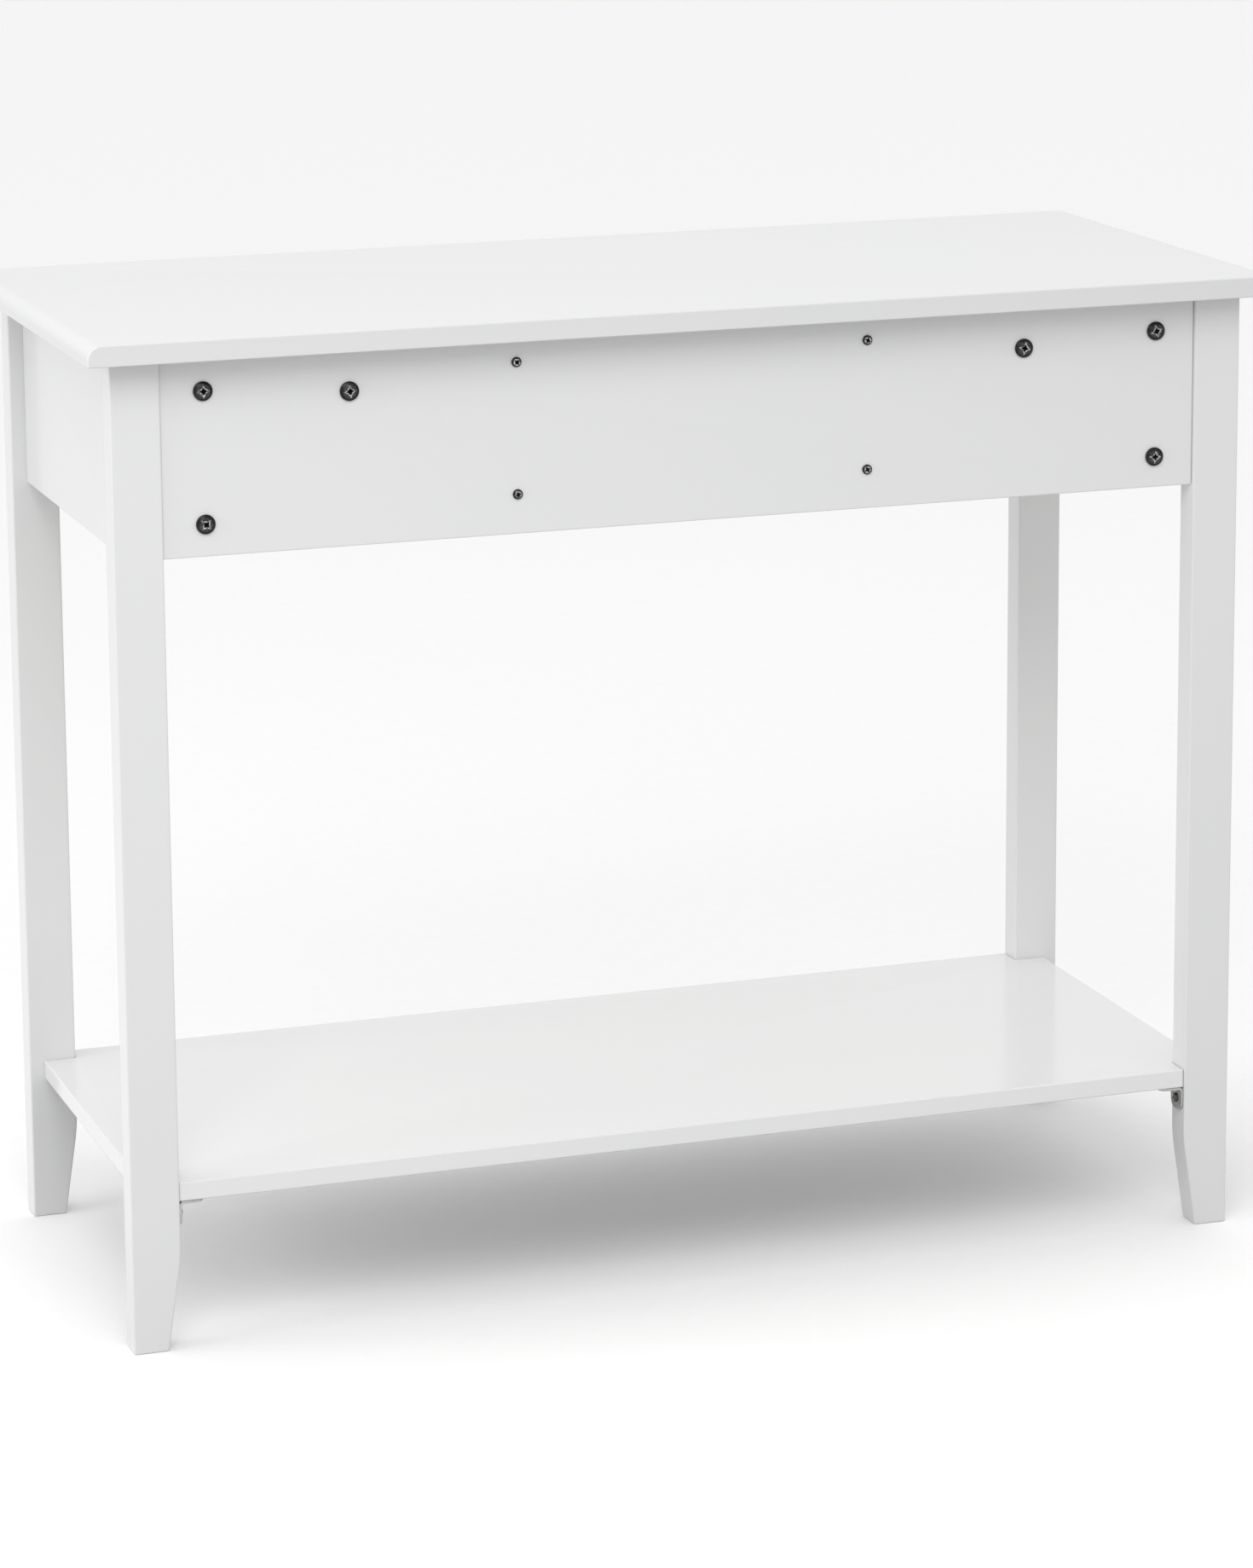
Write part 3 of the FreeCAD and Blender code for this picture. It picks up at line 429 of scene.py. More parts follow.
def eased_edge_group():
    """How an eased edge differs from the face beside it: thinner paint, a little rub, more polish."""
    tree, net, given, result = new_group(
        "eased_edge",
        (("Position", "Vector", None), ("Edge", "Float", 0.0), ("Face Colour", "Color", None),
         ("Edge Colour", "Color", None), ("Amount", "Float", 0.5), ("Break Size", "Float", 0.016),
         ("Least", "Float", 0.6)),
        (("Color", "Color"), ("Rub", "Float")))
    patches = net.noise(given["Position"], net.over(1.0, given["Break Size"]), 2.0, 0.5)
    broken = net.ranged(patches, 0.4, 0.6, given["Least"], 1.0)
    rub = net.times(net.times(given["Edge"], broken), given["Amount"], clamp=True)
    net.feed(result["Color"], net.blend(rub, given["Face Colour"], given["Edge Colour"]))
    net.feed(result["Rub"], rub)
    return tree


def hairline_group():
    """Sparse hairline marks from wiping and handling: thin bands of stretched noise, two ways across."""
    tree, net, given, result = new_group(
        "hairline_marks",
        (("Position", "Vector", None), ("Spacing", "Float", 0.02), ("Amount", "Float", 0.5)),
        (("Mask", "Float"),))
    total = 0.0
    for turn, keep in ((0.5, 0.62), (-0.9, 0.64)):
        turned = net.mapped(given["Position"], (1.0, 26.0, 26.0), (0.0, 0.0, turn))
        fine = net.noise(turned, net.over(0.8, given["Spacing"]), 3.0, 0.7)
        line = net.ranged(net.maths("ABSOLUTE", net.maths("SUBTRACT", fine, 0.5)), 0.0, 0.006, 1.0, 0.0)
        patch = net.ranged(net.noise(given["Position"], 9.0, 2.0), keep - 0.06, keep)
        total = net.times_plus(line, patch, total)
    net.feed(result["Mask"], net.times(total, given["Amount"], clamp=True))
    return tree


def sawn_grain_group():
    """Wood with its grain along X: bent growth bands, fine fibre streaks and short dark pores."""
    tree, net, given, result = new_group(
        "sawn_grain",
        (("Position", "Vector", None), ("Early Wood", "Color", None), ("Late Wood", "Color", None),
         ("Ring Width", "Float", 0.006), ("Contrast", "Float", 0.6)),
        (("Color", "Color"), ("Height", "Float"), ("Fibre", "Float")))
    long = net.mapped(given["Position"], (0.09, 1.0, 1.0))
    drift = net.noise(long, 9.0, 2.0)
    parts = net.add("ShaderNodeSeparateXYZ", {"Vector": long})
    across = net.times_plus(drift, 0.055, parts.outputs[1])
    across = net.times_plus(parts.outputs[2], 0.6, across)
    turns = net.times(across, 6.2832)
    wave = net.maths("SINE", net.over(turns, given["Ring Width"]))
    band = net.maths("POWER", net.ranged(wave, -1.0, 1.0), 2.2)
    fibre = net.noise(net.mapped(given["Position"], (14.0, 900.0, 900.0)), 1.0, 3.0, 0.6)
    dots = net.noise(net.mapped(given["Position"], (130.0, 1900.0, 1900.0)), 1.0, 1.0)
    pore = net.ranged(dots, 0.66, 0.74)
    tone = net.times_plus(net.maths("SUBTRACT", fibre, 0.5), 0.7, band)
    tone = net.times_plus(pore, 0.5, net.times(tone, given["Contrast"]), clamp=True)
    net.feed(result["Color"], net.blend(tone, given["Early Wood"], given["Late Wood"]))
    height = net.times_plus(fibre, 1.6e-5, net.times(pore, -3e-5))
    net.feed(result["Height"], net.times_plus(band, 8e-6, height))
    net.feed(result["Fibre"], fibre)
    return tree


def worked_metal_group():
    """Metal: fine parallel scratches along Z and a faint cloud of uneven plate."""
    tree, net, given, result = new_group(
        "worked_metal",
        (("Position", "Vector", None), ("Scratch Width", "Float", 0.0002),
         ("Scratch Depth", "Float", 2e-6)),
        (("Height", "Float"), ("Cloud", "Float"), ("Scratch", "Float")))
    scratch = net.noise(net.mapped(given["Position"], (1.0, 1.0, 0.03)),
                        net.over(1.0, given["Scratch Width"]), 2.0, 0.6)
    net.feed(result["Height"], net.times(scratch, given["Scratch Depth"]))
    net.feed(result["Cloud"], net.noise(given["Position"], 160.0, 4.0, 0.6))
    net.feed(result["Scratch"], scratch)
    return tree


GROUPS = {
    "sprayed_skin": sprayed_skin_group,
    "eased_edge": eased_edge_group,
    "hairline_marks": hairline_group,
    "sawn_grain": sawn_grain_group,
    "worked_metal": worked_metal_group,
}


def toned(base, factor):
    """A colour made lighter or darker."""
    return tuple(c * factor for c in base)


class Finish:
    """A material under way: its net, its object coordinates and its Principled shader."""

    def __init__(self, name):
        self.material = bpy.data.materials.new(name)
        self.material.use_nodes = True
        self.material.node_tree.nodes.clear()
        self.net = Net(self.material.node_tree)
        self.place = self.net.add("ShaderNodeTexCoord").outputs["Object"]
        self.shader = self.net.add("ShaderNodeBsdfPrincipled")
        out = self.net.add("ShaderNodeOutputMaterial")
        self.net.tree.links.new(self.shader.outputs[0], out.inputs[0])

    def group(self, name, **values):
        """One of the shared groups with its own values; underscores in names stand for spaces."""
        if name not in bpy.data.node_groups:
            GROUPS[name]()
        node = self.net.add("ShaderNodeGroup", node_tree=bpy.data.node_groups[name])
        for key, value in values.items():
            self.net.feed(node.inputs[key.replace("_", " ")], value)
        return node.outputs

    def edge(self):
        """The edge mask that the piece's own mesh carries."""
        return self.net.add("ShaderNodeAttribute", attribute_name="edge").outputs["Fac"]

    def bump(self, height, strength=1.0):
        """A normal from a height in metres."""
        node = self.net.add("ShaderNodeBump", {"Height": height, "Strength": strength, "Distance": 1.0})
        self.net.feed(self.shader.inputs["Normal"], node.outputs[0])

    def set(self, **values):
        """Shader inputs; underscores stand for spaces."""
        for key, value in values.items():
            self.net.feed(self.shader.inputs[key.replace("_", " ")], value)


def lacquer(name, gloss, peel, mark=0.3, painted_light_factor=1.0):
    """White lacquer over smooth board, with its own gloss, orange peel and wiping marks; its colour may be
    scaled darker or lighter as painted light, for how much light falls on the piece.
    """
    sizes, colours = bpy.context.scene.console_sizes, bpy.context.scene.console_colours
    f = Finish(name)
    # painted light: the lacquer's colour is scaled darker or lighter for how much light falls on this
    # piece
    base = toned(colours.lacquer, painted_light_factor)
    skin = f.group("sprayed_skin", Position=f.place, Peel_Width=sizes.peel_width, Peel_Depth=peel,
                   Wave_Width=sizes.wave_width, Wave_Depth=2.2e-5, Nib_Spacing=0.034)
    thin = tuple(c * k for c, k in zip(base, (0.965, 0.962, 0.956)))
    warm = tuple(c * k for c, k in zip(base, (1.004, 1.0, 0.994)))
    cool = tuple(c * k for c, k in zip(base, (0.994, 0.996, 1.0)))
    face = f.net.blend(f.net.ranged(skin["Patches"], 0.3, 0.7), warm, cool)
    rub = f.group("eased_edge", Position=f.place, Edge=f.edge(), Face_Colour=face, Edge_Colour=thin,
                  Amount=0.5)
    lines = f.group("hairline_marks", Position=f.place, Spacing=0.02, Amount=mark)["Mask"]
    rough = f.net.ranged(skin["Patches"], 0.25, 0.75, gloss - 0.012, gloss + 0.018)
    rough = f.net.times_plus(lines, 0.06, rough)
    rough = f.net.times_plus(rub["Rub"], -0.03, rough)
    f.set(Base_Color=rub["Color"], Roughness=rough, IOR=1.5, Coat_Weight=0.22, Coat_Roughness=0.08)
    f.bump(skin["Height"])
    return f.material


def wood(name, light, dark, grain, ring_width, contrast, rough, edge_amount=0.25):
    """Planed wood; grain is the turn, in degrees, that brings its grain to X."""
    f = Finish(name)
    place = f.net.mapped(f.place, turn=tuple(math.radians(a) for a in grain))
    cut = f.group("sawn_grain", Position=place, Early_Wood=light, Late_Wood=dark, Ring_Width=ring_width,
                  Contrast=contrast)
    worn = f.group("eased_edge", Position=f.place, Edge=f.edge(), Face_Colour=cut["Color"],
                   Edge_Colour=toned(dark, 0.72), Amount=edge_amount)
    f.set(Base_Color=worn["Color"],
          Roughness=f.net.ranged(cut["Fibre"], 0.3, 0.7, rough - 0.07, rough + 0.07))
    f.bump(cut["Height"])
    return f.material


def metal(name, base, worn, rough, width, depth, amount=0.6, cloud=0.12):
    """Plated or oxidised steel that shows brighter metal where its edge mask is high: wear on edges, and
    on the lips and faces of screw heads also a painted highlight.
    """
    f = Finish(name)
    work = f.group("worked_metal", Position=f.place, Scratch_Width=width, Scratch_Depth=depth)
    pale = tuple(min(1.0, c * (1 + cloud)) for c in base)
    deep = toned(base, 1 - cloud)
    face = f.net.blend(f.net.ranged(work["Cloud"], 0.3, 0.7), deep, pale)
    # the edge colour: worn metal, and on screw heads also a painted highlight
    rub = f.group("eased_edge", Position=f.place, Edge=f.edge(), Face_Colour=face, Edge_Colour=worn,
                  Amount=amount, Break_Size=0.0016, Least=0.15)
    tone = f.net.ranged(work["Scratch"], 0.3, 0.7, rough - 0.06, rough + 0.08)
    f.set(Base_Color=rub["Color"], Roughness=tone, Metallic=f.net.ranged(rub["Rub"], 0.0, 1.0, 0.9, 1.0))
    f.bump(work["Height"])
    return f.material


def moulded(name, base, rough):
    """Matt moulded plastic with a fine spark-eroded texture."""
    f = Finish(name)
    skin = f.group("sprayed_skin", Position=f.place, Peel_Width=0.0006, Peel_Depth=9e-6, Wave_Width=0.03,
                   Wave_Depth=8e-6, Nib_Spacing=0.02)
    edge = f.group("eased_edge", Position=f.place, Edge=f.edge(), Face_Colour=base,
                   Edge_Colour=toned(base, 0.9), Amount=0.7)
    f.set(Base_Color=edge["Color"],
          Roughness=f.net.ranged(skin["Patches"], 0.3, 0.7, rough - 0.05, rough + 0.05))
    f.bump(skin["Height"])
    return f.material


def hardboard(name):
    """White-faced hardboard with a faint felt and warm flecks."""
    f = Finish(name)
    skin = f.group("sprayed_skin", Position=f.place, Peel_Width=0.0014, Peel_Depth=1.6e-5, Wave_Width=0.05,
                   Wave_Depth=1e-5, Nib_Spacing=0.012)
    fleck = f.net.ranged(f.net.noise(f.place, 900.0, 2.0, 0.7), 0.6, 0.72, 0.0, 0.35)
    face = f.net.blend(fleck, (0.8, 0.79, 0.76), (0.6, 0.5, 0.38))
    face = f.net.blend(f.net.times(skin["Nibs"], 0.6), face, (0.45, 0.34, 0.24))
    f.set(Base_Color=face, Roughness=f.net.ranged(skin["Patches"], 0.3, 0.7, 0.48, 0.62))
    f.bump(skin["Height"])
    return f.material


def studio_floor(name, base):
    """Pale painted floor, very slightly uneven, that throws less light back than it shows."""
    f = Finish(name)
    fine = f.net.noise(f.place, 60.0, 4.0, 0.6)
    face = f.net.blend(f.net.ranged(fine, 0.3, 0.7), base, toned(base, 0.985))
    path = f.net.add("ShaderNodeLightPath").outputs
    shown = f.net.maths("MAXIMUM", path["Is Camera Ray"], path["Is Glossy Ray"])
    f.set(Base_Color=f.net.blend(shown, toned(base, FLOOR_BOUNCE), face), Roughness=0.75,
          Specular_IOR_Level=0.2)
    f.bump(f.net.times(fine, 4e-5))
    return f.material


def finish(kind):
    """The material of a kind, made on first use."""
    name = kind + "_finish"
    known = bpy.data.materials.get(name)
    if known:
        return known
    c = bpy.context.scene.console_colours
    drawer = c.drawer_light, c.drawer_dark
    pine = c.pine_light, c.pine_dark
    makers = {
        # painted light: the tabletop's lacquer is painted 7% darker and the shelf's 6% lighter than the
        # frame's, for the light that falls on them
        "top_lacquer": (lacquer, 0.15, 1.6e-6, 0.45, 0.93),
        "shelf_lacquer": (lacquer, 0.15, 1.6e-6, 0.35, 1.06),
        "frame_lacquer": (lacquer, 0.22, 2.2e-6, 0.2),
        "panel_lacquer": (lacquer, 0.3, 2.6e-6, 0.15),
        "drawer_long": (wood, *drawer, (0, 0, 90), 0.0075, 0.55, 0.42),
        "drawer_cross": (wood, *drawer, (0, 0, 0), 0.0075, 0.55, 0.42),
        "pine_long": (wood, *pine, (0, 0, 90), 0.0052, 0.75, 0.58),
        "pine_upright": (wood, *pine, (0, 90, 0), 0.0052, 0.75, 0.58),
        "beech": (wood, (0.7, 0.5, 0.32), (0.5, 0.3, 0.16), (0, 0, 0), 0.004, 0.5, 0.5),
        "drawer_floor": (hardboard,),
        "nickel": (metal, c.nickel, (0.62, 0.62, 0.61), 0.24, 1.6e-4, 1.2e-6, 0.4),
        # black_steel, dark_steel and zinc_steel: the lighter metal on the screws' recess lips and head
        # faces is partly wear, partly a painted highlight
        "black_steel": (metal, c.black_steel, (0.6, 0.6, 0.6), 0.26, 3e-4, 5e-6, 1.0, 0.4),
        "dark_steel": (metal, (0.1, 0.1, 0.102), (0.55, 0.55, 0.56), 0.28, 2.4e-4, 3e-6, 0.9),
        "zinc_steel": (metal, c.zinc, (0.7, 0.71, 0.73), 0.32, 2.4e-4, 3e-6),
        "clip_plastic": (moulded, (0.78, 0.78, 0.75), 0.46),
        "studio_floor": (studio_floor, c.floor),
    }
    maker, *values = makers[kind]
    return maker(name, *values)


# ---- pieces

def put(name, node, mesh, material, body="frame"):
    """Puts a finished mesh in the scene, on its body and in place of a CAD node."""
    mesh.name = name
    made = bpy.data.objects.new(name, mesh)
    bpy.context.scene.collection.objects.link(made)
    mesh.materials.append(finish(material))
    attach(made, body)
    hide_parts(node)


def put_turned(name, node, turned, places, outward, spins, material, body="frame"):
    """Puts copies of a turned piece, given as its grid and edge mask, at places that face one way."""
    grid, mark = turned
    mesh = merged(placed(grid, places, frames(places, outward, spins)), mark)
    put(name, node, mesh, material, body)


def recoat(node, material):
    """Gives a CAD node that keeps its own shape a better material."""
    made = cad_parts[node]
    made.data.materials.clear()
    made.data.materials.append(finish(material))


def sizes():
    """The user's sizes."""
    return bpy.context.scene.console_sizes


class MakeTabletop(bpy.types.Operator):
    """Slab with a round-over on its front and ends and a square back edge"""

    bl_idname = "console.make_tabletop"
    bl_label = "Tabletop"

    def execute(self, context):
        s = sizes()
        low, high = box("tabletop")
        ease = s.board_ease
        upper, lower = np.linspace(0.0, QUARTER, 13), np.linspace(0.0, QUARTER, 5)
        up = high[2] - s.top_round * (1 - np.sin(upper))
        z = np.concatenate([[low[2]], low[2] + ease * (1 - np.cos(lower)), [low[2] + ease + SUPPORT],
                            [up[0] - SUPPORT], up, [high[2]]])
        head = np.concatenate([[ease + SUPPORT], ease * (1 - np.sin(lower)), [0.0, 0.0]])
        round_in = np.concatenate([head, s.top_round * (1 - np.cos(upper)), [s.top_round + SUPPORT]])
        near = np.clip((up - (high[2] - ease)) / ease, 0.0, 1.0)
        square = np.concatenate([head, ease * (1 - np.sqrt(1 - near ** 2)), [ease + SUPPORT]])
        outline = rectangle(low[0], low[1], high[0], high[1])
        rings = np.stack([ring(outline, (r, r, b, r), max(s.top_corner - b, LEAST_CORNER))
                          for r, b in zip(round_in, square)])
        mark = np.concatenate([[0.0], np.ones(5), [0.0, 0.0], np.linspace(0.3, 1.0, 13) ** 2, [0.0]])
        marks = np.maximum(mark[:, None] * 0.8, corner_mask(4)[None, :])
        # the slab takes the lacquer painted darker: painted shade
        put("tabletop_slab", "tabletop", shell(lifted(rings, z), marks), "top_lacquer")
        return {"FINISHED"}


class MakeLegs(bpy.types.Operator):
    """Four legs whose inner faces taper to the feet"""

    bl_idname = "console.make_legs"
    bl_label = "Legs"

    def execute(self, context):
        s = sizes()
        for side, x_way in SIDES:
            for row in ("front", "rear"):
                self.leg("leg_%s_%s" % (row, side), x_way, s)
        return {"FINISHED"}

    def leg(self, node, x_way, s):
        """Ring i is the leg's section with width w(z), held against its outer end face.

        w(z) runs straight from the foot's width at the floor to the leg's at the knee, with the bend
        at the knee eased by a parabola over 12 mm each way, and then stays.
        """
        low, high = box(node)
        wide = high[0] - low[0]
        bend = 12.0 * MM
        foot = np.array([0.0, 0.0, 0.15, 0.5, 0.8, 1.3]) * MM
        foot_in = np.array([1.3, 0.8, 0.4, 0.12, 0.0, 0.0]) * MM
        knee = s.taper_height + np.linspace(-bend, bend, 13)
        top = high[2] - np.array([1.3, 0.8, 0.0, 0.0]) * MM
        top_in = np.array([0.0, 0.0, 0.8, 1.3]) * MM
        z = np.concatenate([foot, knee, top])
        inset = np.concatenate([foot_in, np.zeros(13), top_in])
        slope = (wide - s.foot_width) / s.taper_height
        t = np.clip((z - s.taper_height + bend) / (2 * bend), 0.0, 1.0)
        less = slope * np.where(z < s.taper_height - bend, s.taper_height - z, bend * (1 - t) ** 2)
        rings = []
        for cut, pull in zip(less, inset):
            x0 = low[0] + (cut if x_way > 0 else 0.0)
            x1 = high[0] - (cut if x_way < 0 else 0.0)
            corner = max(s.leg_ease - pull, LEAST_CORNER)
            rings.append(ring(rectangle(x0, low[1], x1, high[1]), pull, corner))
        marks = np.maximum((inset > 0)[:, None] * 1.0, corner_mask(4)[None, :])
        put(node + "_post", node, shell(lifted(np.stack(rings), z), marks), "frame_lacquer")


class MakeApron(bpy.types.Operator):
    """Back panel, side panels, front rails and partitions"""

    bl_idname = "console.make_apron"
    bl_label = "Apron"

    def execute(self, context):
        ease = sizes().board_ease
        play = 0.25 * MM
        shorter = box("back_panel")[1][0] - (box("leg_rear_right")[0][0] - play)
        put("back_panel_board", "back_panel", board("back_panel", ease, "y", shorter), "panel_lacquer")
        for side, _ in SIDES:
            node = "side_panel_" + side
            put(node + "_board", node, board(node, ease, "x"), "frame_lacquer")
            self.partition("partition_" + side)
        for node in ("front_top_rail", "front_bottom_rail"):
            put(node + "_board", node, board(node, ease, "x"), "frame_lacquer")
        return {"FINISHED"}

    def partition(self, node):
        """The YZ outline of a board notched for both front rails, carried across its thickness."""
        low, high = box(node)
        upper, lower = box("front_top_rail"), box("front_bottom_rail")
        deep = upper[1][1]
        outline = [(deep, low[2]), (high[1], low[2]), (high[1], high[2]), (deep, high[2]),
                   (deep, upper[0][2]), (low[1], upper[0][2]), (low[1], lower[1][2]), (deep, lower[1][2])]
        put(node + "_board", node, prism(outline, low[0], high[0], 0.5 * MM, "x"), "frame_lacquer")


class MakeShelf(bpy.types.Operator):
    """Low shelf notched round the legs"""

    bl_idname = "console.make_shelf"
    bl_label = "Shelf"

    def execute(self, context):
        low, high = box("shelf")
        gap = 0.3 * MM
        leg = box("leg_rear_right")[0]
        u, v0, v1 = leg[0] - gap, box("leg_front_right")[1][1] + gap, leg[1] - gap
        x0, y0, x1, y1 = low[0], low[1], high[0], high[1]
        outline = [(-u, y0), (u, y0), (u, v0), (x1, v0), (x1, v1), (u, v1), (u, y1), (-u, y1),
                   (-u, v1), (x0, v1), (x0, v0), (-u, v0)]
        # the shelf takes the lacquer painted lighter: painted light
        put("shelf_board", "shelf", prism(outline, low[2], high[2], sizes().shelf_ease), "shelf_lacquer")
        return {"FINISHED"}


class MakeDrawerBoxes(bpy.types.Operator):
    """Sides, back and bottom of each drawer; the back stops at the sides"""

    bl_idname = "console.make_drawer_boxes"
    bl_label = "Drawer boxes"

    def execute(self, context):
        ease = sizes().box_ease
        for drawer in DRAWERS:
            for part in ("side_left", "side_right"):
                node = "%s_%s" % (drawer, part)
                put(node + "_board", node, board(node, ease, "x"), "drawer_long", drawer)
            node = drawer + "_back"
            mesh = board(node, ease, "y", box(node)[1][0] - box(drawer + "_side_right")[0][0])
            put(node + "_board", node, mesh, "drawer_cross", drawer)
            node = drawer + "_bottom"
            put(node + "_board", node, board(node, 0.3 * MM), "drawer_floor", drawer)
        return {"FINISHED"}


class MakeDrawerFronts(bpy.types.Operator):
    """Inset drawer fronts with eased edges, a hair shorter than the sides that lie in their ends"""

    bl_idname = "console.make_drawer_fronts"
    bl_label = "Drawer fronts"

    def execute(self, context):
        hair = 0.08 * MM
        for drawer in DRAWERS:
            node = drawer + "_front"
            mesh = board(node, sizes().drawer_ease, "y", hair)
            put(node + "_board", node, mesh, "frame_lacquer", drawer)
        return {"FINISHED"}


class MakeKnobs(bpy.types.Operator):
    """Turned nickel knobs and the screws that hold them"""

    bl_idname = "console.make_knobs"
    bl_label = "Knobs"

    def execute(self, context):
        for drawer in DRAWERS:
            node = drawer + "_knob"
            low, high = box(node)
            centre = (low + high) / 2
            seat = np.array([centre[0], high[1], centre[2]])
            turned = self.turning((high[0] - low[0]) / 2, high[1] - low[1])
            put_turned(node + "_turning", node, turned, [seat], (0, -1, 0), [0.0], "nickel", drawer)
            screw = drawer + "_knob_screw"
            low, high = box(screw)
            place = np.array([centre[0], high[1] - PAN_RISE, centre[2]])
            turned = screw_grid(high[0] - low[0], PAN_RISE, SCREW_SHANK, high[1] - low[1] - PAN_RISE,
                                2.4 * MM, 1.5 * MM, 0.3, 64)
            put_turned(screw + "_pan", screw, turned, [place], (0, 1, 0), [0.6], "zinc_steel", drawer)
        return {"FINISHED"}

    def turning(self, rim, tall):
        """Radius against height, straight between set points, softened by a 1-2-1 mean, turned round.

        Base flange, waisted neck, flared under-face, rolled rim and a crowned face that ends at a pole.
        """
        key = np.array([(0.0, 0.0), (0.6, 0.0), (0.6, 0.04), (0.5, 0.1), (0.44, 0.24), (0.45, 0.38),
                        (0.62, 0.52), (0.88, 0.62), (0.985, 0.72), (1.0, 0.8), (0.97, 0.9), (0.88, 0.955),
                        (0.6, 0.985), (0.3, 0.998), (0.0, 1.0)])
        run = np.concatenate([[0.0], np.cumsum(np.hypot(*np.diff(key, axis=0).T))])
        fine = np.linspace(0.0, run[-1], 90)
        r = np.interp(fine, run, key[:, 0])
        z = np.interp(fine, run, key[:, 1])
        soft = np.array([0.25, 0.5, 0.25])
        for _ in range(6):
            r[4:-1] = np.convolve(r, soft, "same")[4:-1]
            z[4:-1] = np.convolve(z, soft, "same")[4:-1]
        angle = np.linspace(0.0, 2 * math.pi, 64, endpoint=False)
        x = (r * rim)[:, None] * np.cos(angle)
        y = (r * rim)[:, None] * np.sin(angle)
        height = np.broadcast_to((z * tall)[:, None], x.shape)
        mark = np.broadcast_to(((z > 0.7) & (z < 0.93))[:, None] * 1.0, x.shape)
        return np.stack([x, y, height], 2), mark


class MakeStopClips(bpy.types.Operator):
    """Push-on clips astride the drawer backs"""

    bl_idname = "console.make_stop_clips"
    bl_label = "Stop clips"

    def execute(self, context):
        for drawer in DRAWERS:
            node = drawer + "_stop_clip"
            low, high = box(node)
            back_low, back_high = box(drawer + "_back")
            edge = back_high[2]
            wall = back_low[1] - low[1]
            lip_width = 6.0 * MM
            lip = high[1] - lip_width
            outline = [(low[1], low[2]), (back_low[1], low[2]), (back_low[1], edge), (back_high[1], edge),
                       (back_high[1], low[2]), (high[1], low[2]), (high[1], high[2]), (lip, high[2]),
                       (lip, edge + wall), (low[1], edge + wall)]
            mesh = prism(outline, low[0], high[0], 0.5 * MM, "x")
            put(node + "_moulding", node, mesh, "clip_plastic", drawer)
        return {"FINISHED"}


class MakeRunners(bpy.types.Operator):
    """Runners under the drawers and the hidden blocks and dowels behind them"""

    bl_idname = "console.make_runners"
    bl_label = "Runners and blocks"

    def execute(self, context):
        ease = sizes().box_ease
        for node in ("left_lane_runner_inner", "middle_lane_runner_left", "middle_lane_runner_right",
                     "right_lane_runner_inner"):
            put(node + "_strip", node, board(node, ease, "x"), "pine_long")
        for side, way in SIDES:
            self.outer("%s_lane_runner_outer" % side, way, ease)
        for side, _ in SIDES:
            recoat("corner_block_" + side, "pine_upright")
            recoat("top_block_" + side, "pine_upright")
        recoat("closing_stops", "pine_long")
        recoat("frame_dowels", "beech")
        recoat("partition_dowels", "beech")
        return {"FINISHED"}

    def outer(self, node, way, ease):
        """An angle section in XZ, carried along Y."""
        low, high = box(node)
        ledge = box("middle_lane_runner_left")[1][2]
        inner = box("leg_rear_right")[0][0]
        if way > 0:
            outline = [(low[0], low[2]), (high[0], low[2]), (high[0], high[2]), (inner, high[2]),
                       (inner, ledge), (low[0], ledge)]
        else:
            outline = [(low[0], low[2]), (high[0], low[2]), (high[0], ledge), (-inner, ledge),
                       (-inner, high[2]), (low[0], high[2])]
        put(node + "_strip", node, prism(outline, low[1], high[1], ease, "y"), "pine_long")


class MakeBackBolts(bpy.types.Operator):
    """Six large black bolts on the back panel"""

    bl_idname = "console.make_back_bolts"
    bl_label = "Back bolts"

    def execute(self, context):
        s = sizes()
        low, high = box("back_bolts")
        seat = box("back_panel")[1][1]
        half = BOLT_HEAD / 2
        x, z0, z1 = high[0] - half, low[2] + half, high[2] - half
        block_low, block_high = box("top_block_right")
        below_block_top = 34.0 * MM
        mid, z_mid = (block_low[0] + block_high[0]) / 2, block_high[2] - below_block_top
        places = [(x, seat, z1), (x, seat, z0), (mid, seat, z_mid), (-mid, seat, z_mid), (-x, seat, z1),
                  (-x, seat, z0)]
        spins = [0.05, 0.82, 0.12, -0.2, 0.3, -0.05]
        turned = screw_grid(BOLT_HEAD, high[1] - seat, BOLT_SHANK, seat - low[1], s.recess_reach,
                            s.recess_depth, 0.09)
        put_turned("back_bolt_heads", "back_bolts", turned, places, (0, 1, 0), spins, "black_steel")
        return {"FINISHED"}


class MakeSmallScrews(bpy.types.Operator):
    """Small screws of the back panel and the hidden joints"""

    bl_idname = "console.make_small_screws"
    bl_label = "Small screws"

    def execute(self, context):
        low, high = box("back_screws")
        seat = box("back_panel")[1][1]
        half = SCREW_HEAD / 2
        places = [(x, seat, z) for x in (low[0] + half, high[0] - half)
                  for z in (low[2] + half, high[2] - half)]
        spins = [0.5, 1.1, 0.2, 0.85]
        turned = screw_grid(SCREW_HEAD, high[1] - seat, SCREW_SHANK, seat - low[1], 3.1 * MM,
                            1.7 * MM, 0.6, 64)
        put_turned("back_screw_heads", "back_screws", turned, places, (0, 1, 0), spins, "black_steel")
        for node in ("corner_block_screws", "top_block_screws", "top_rail_screws"):
            recoat(node, "zinc_steel")
        return {"FINISHED"}


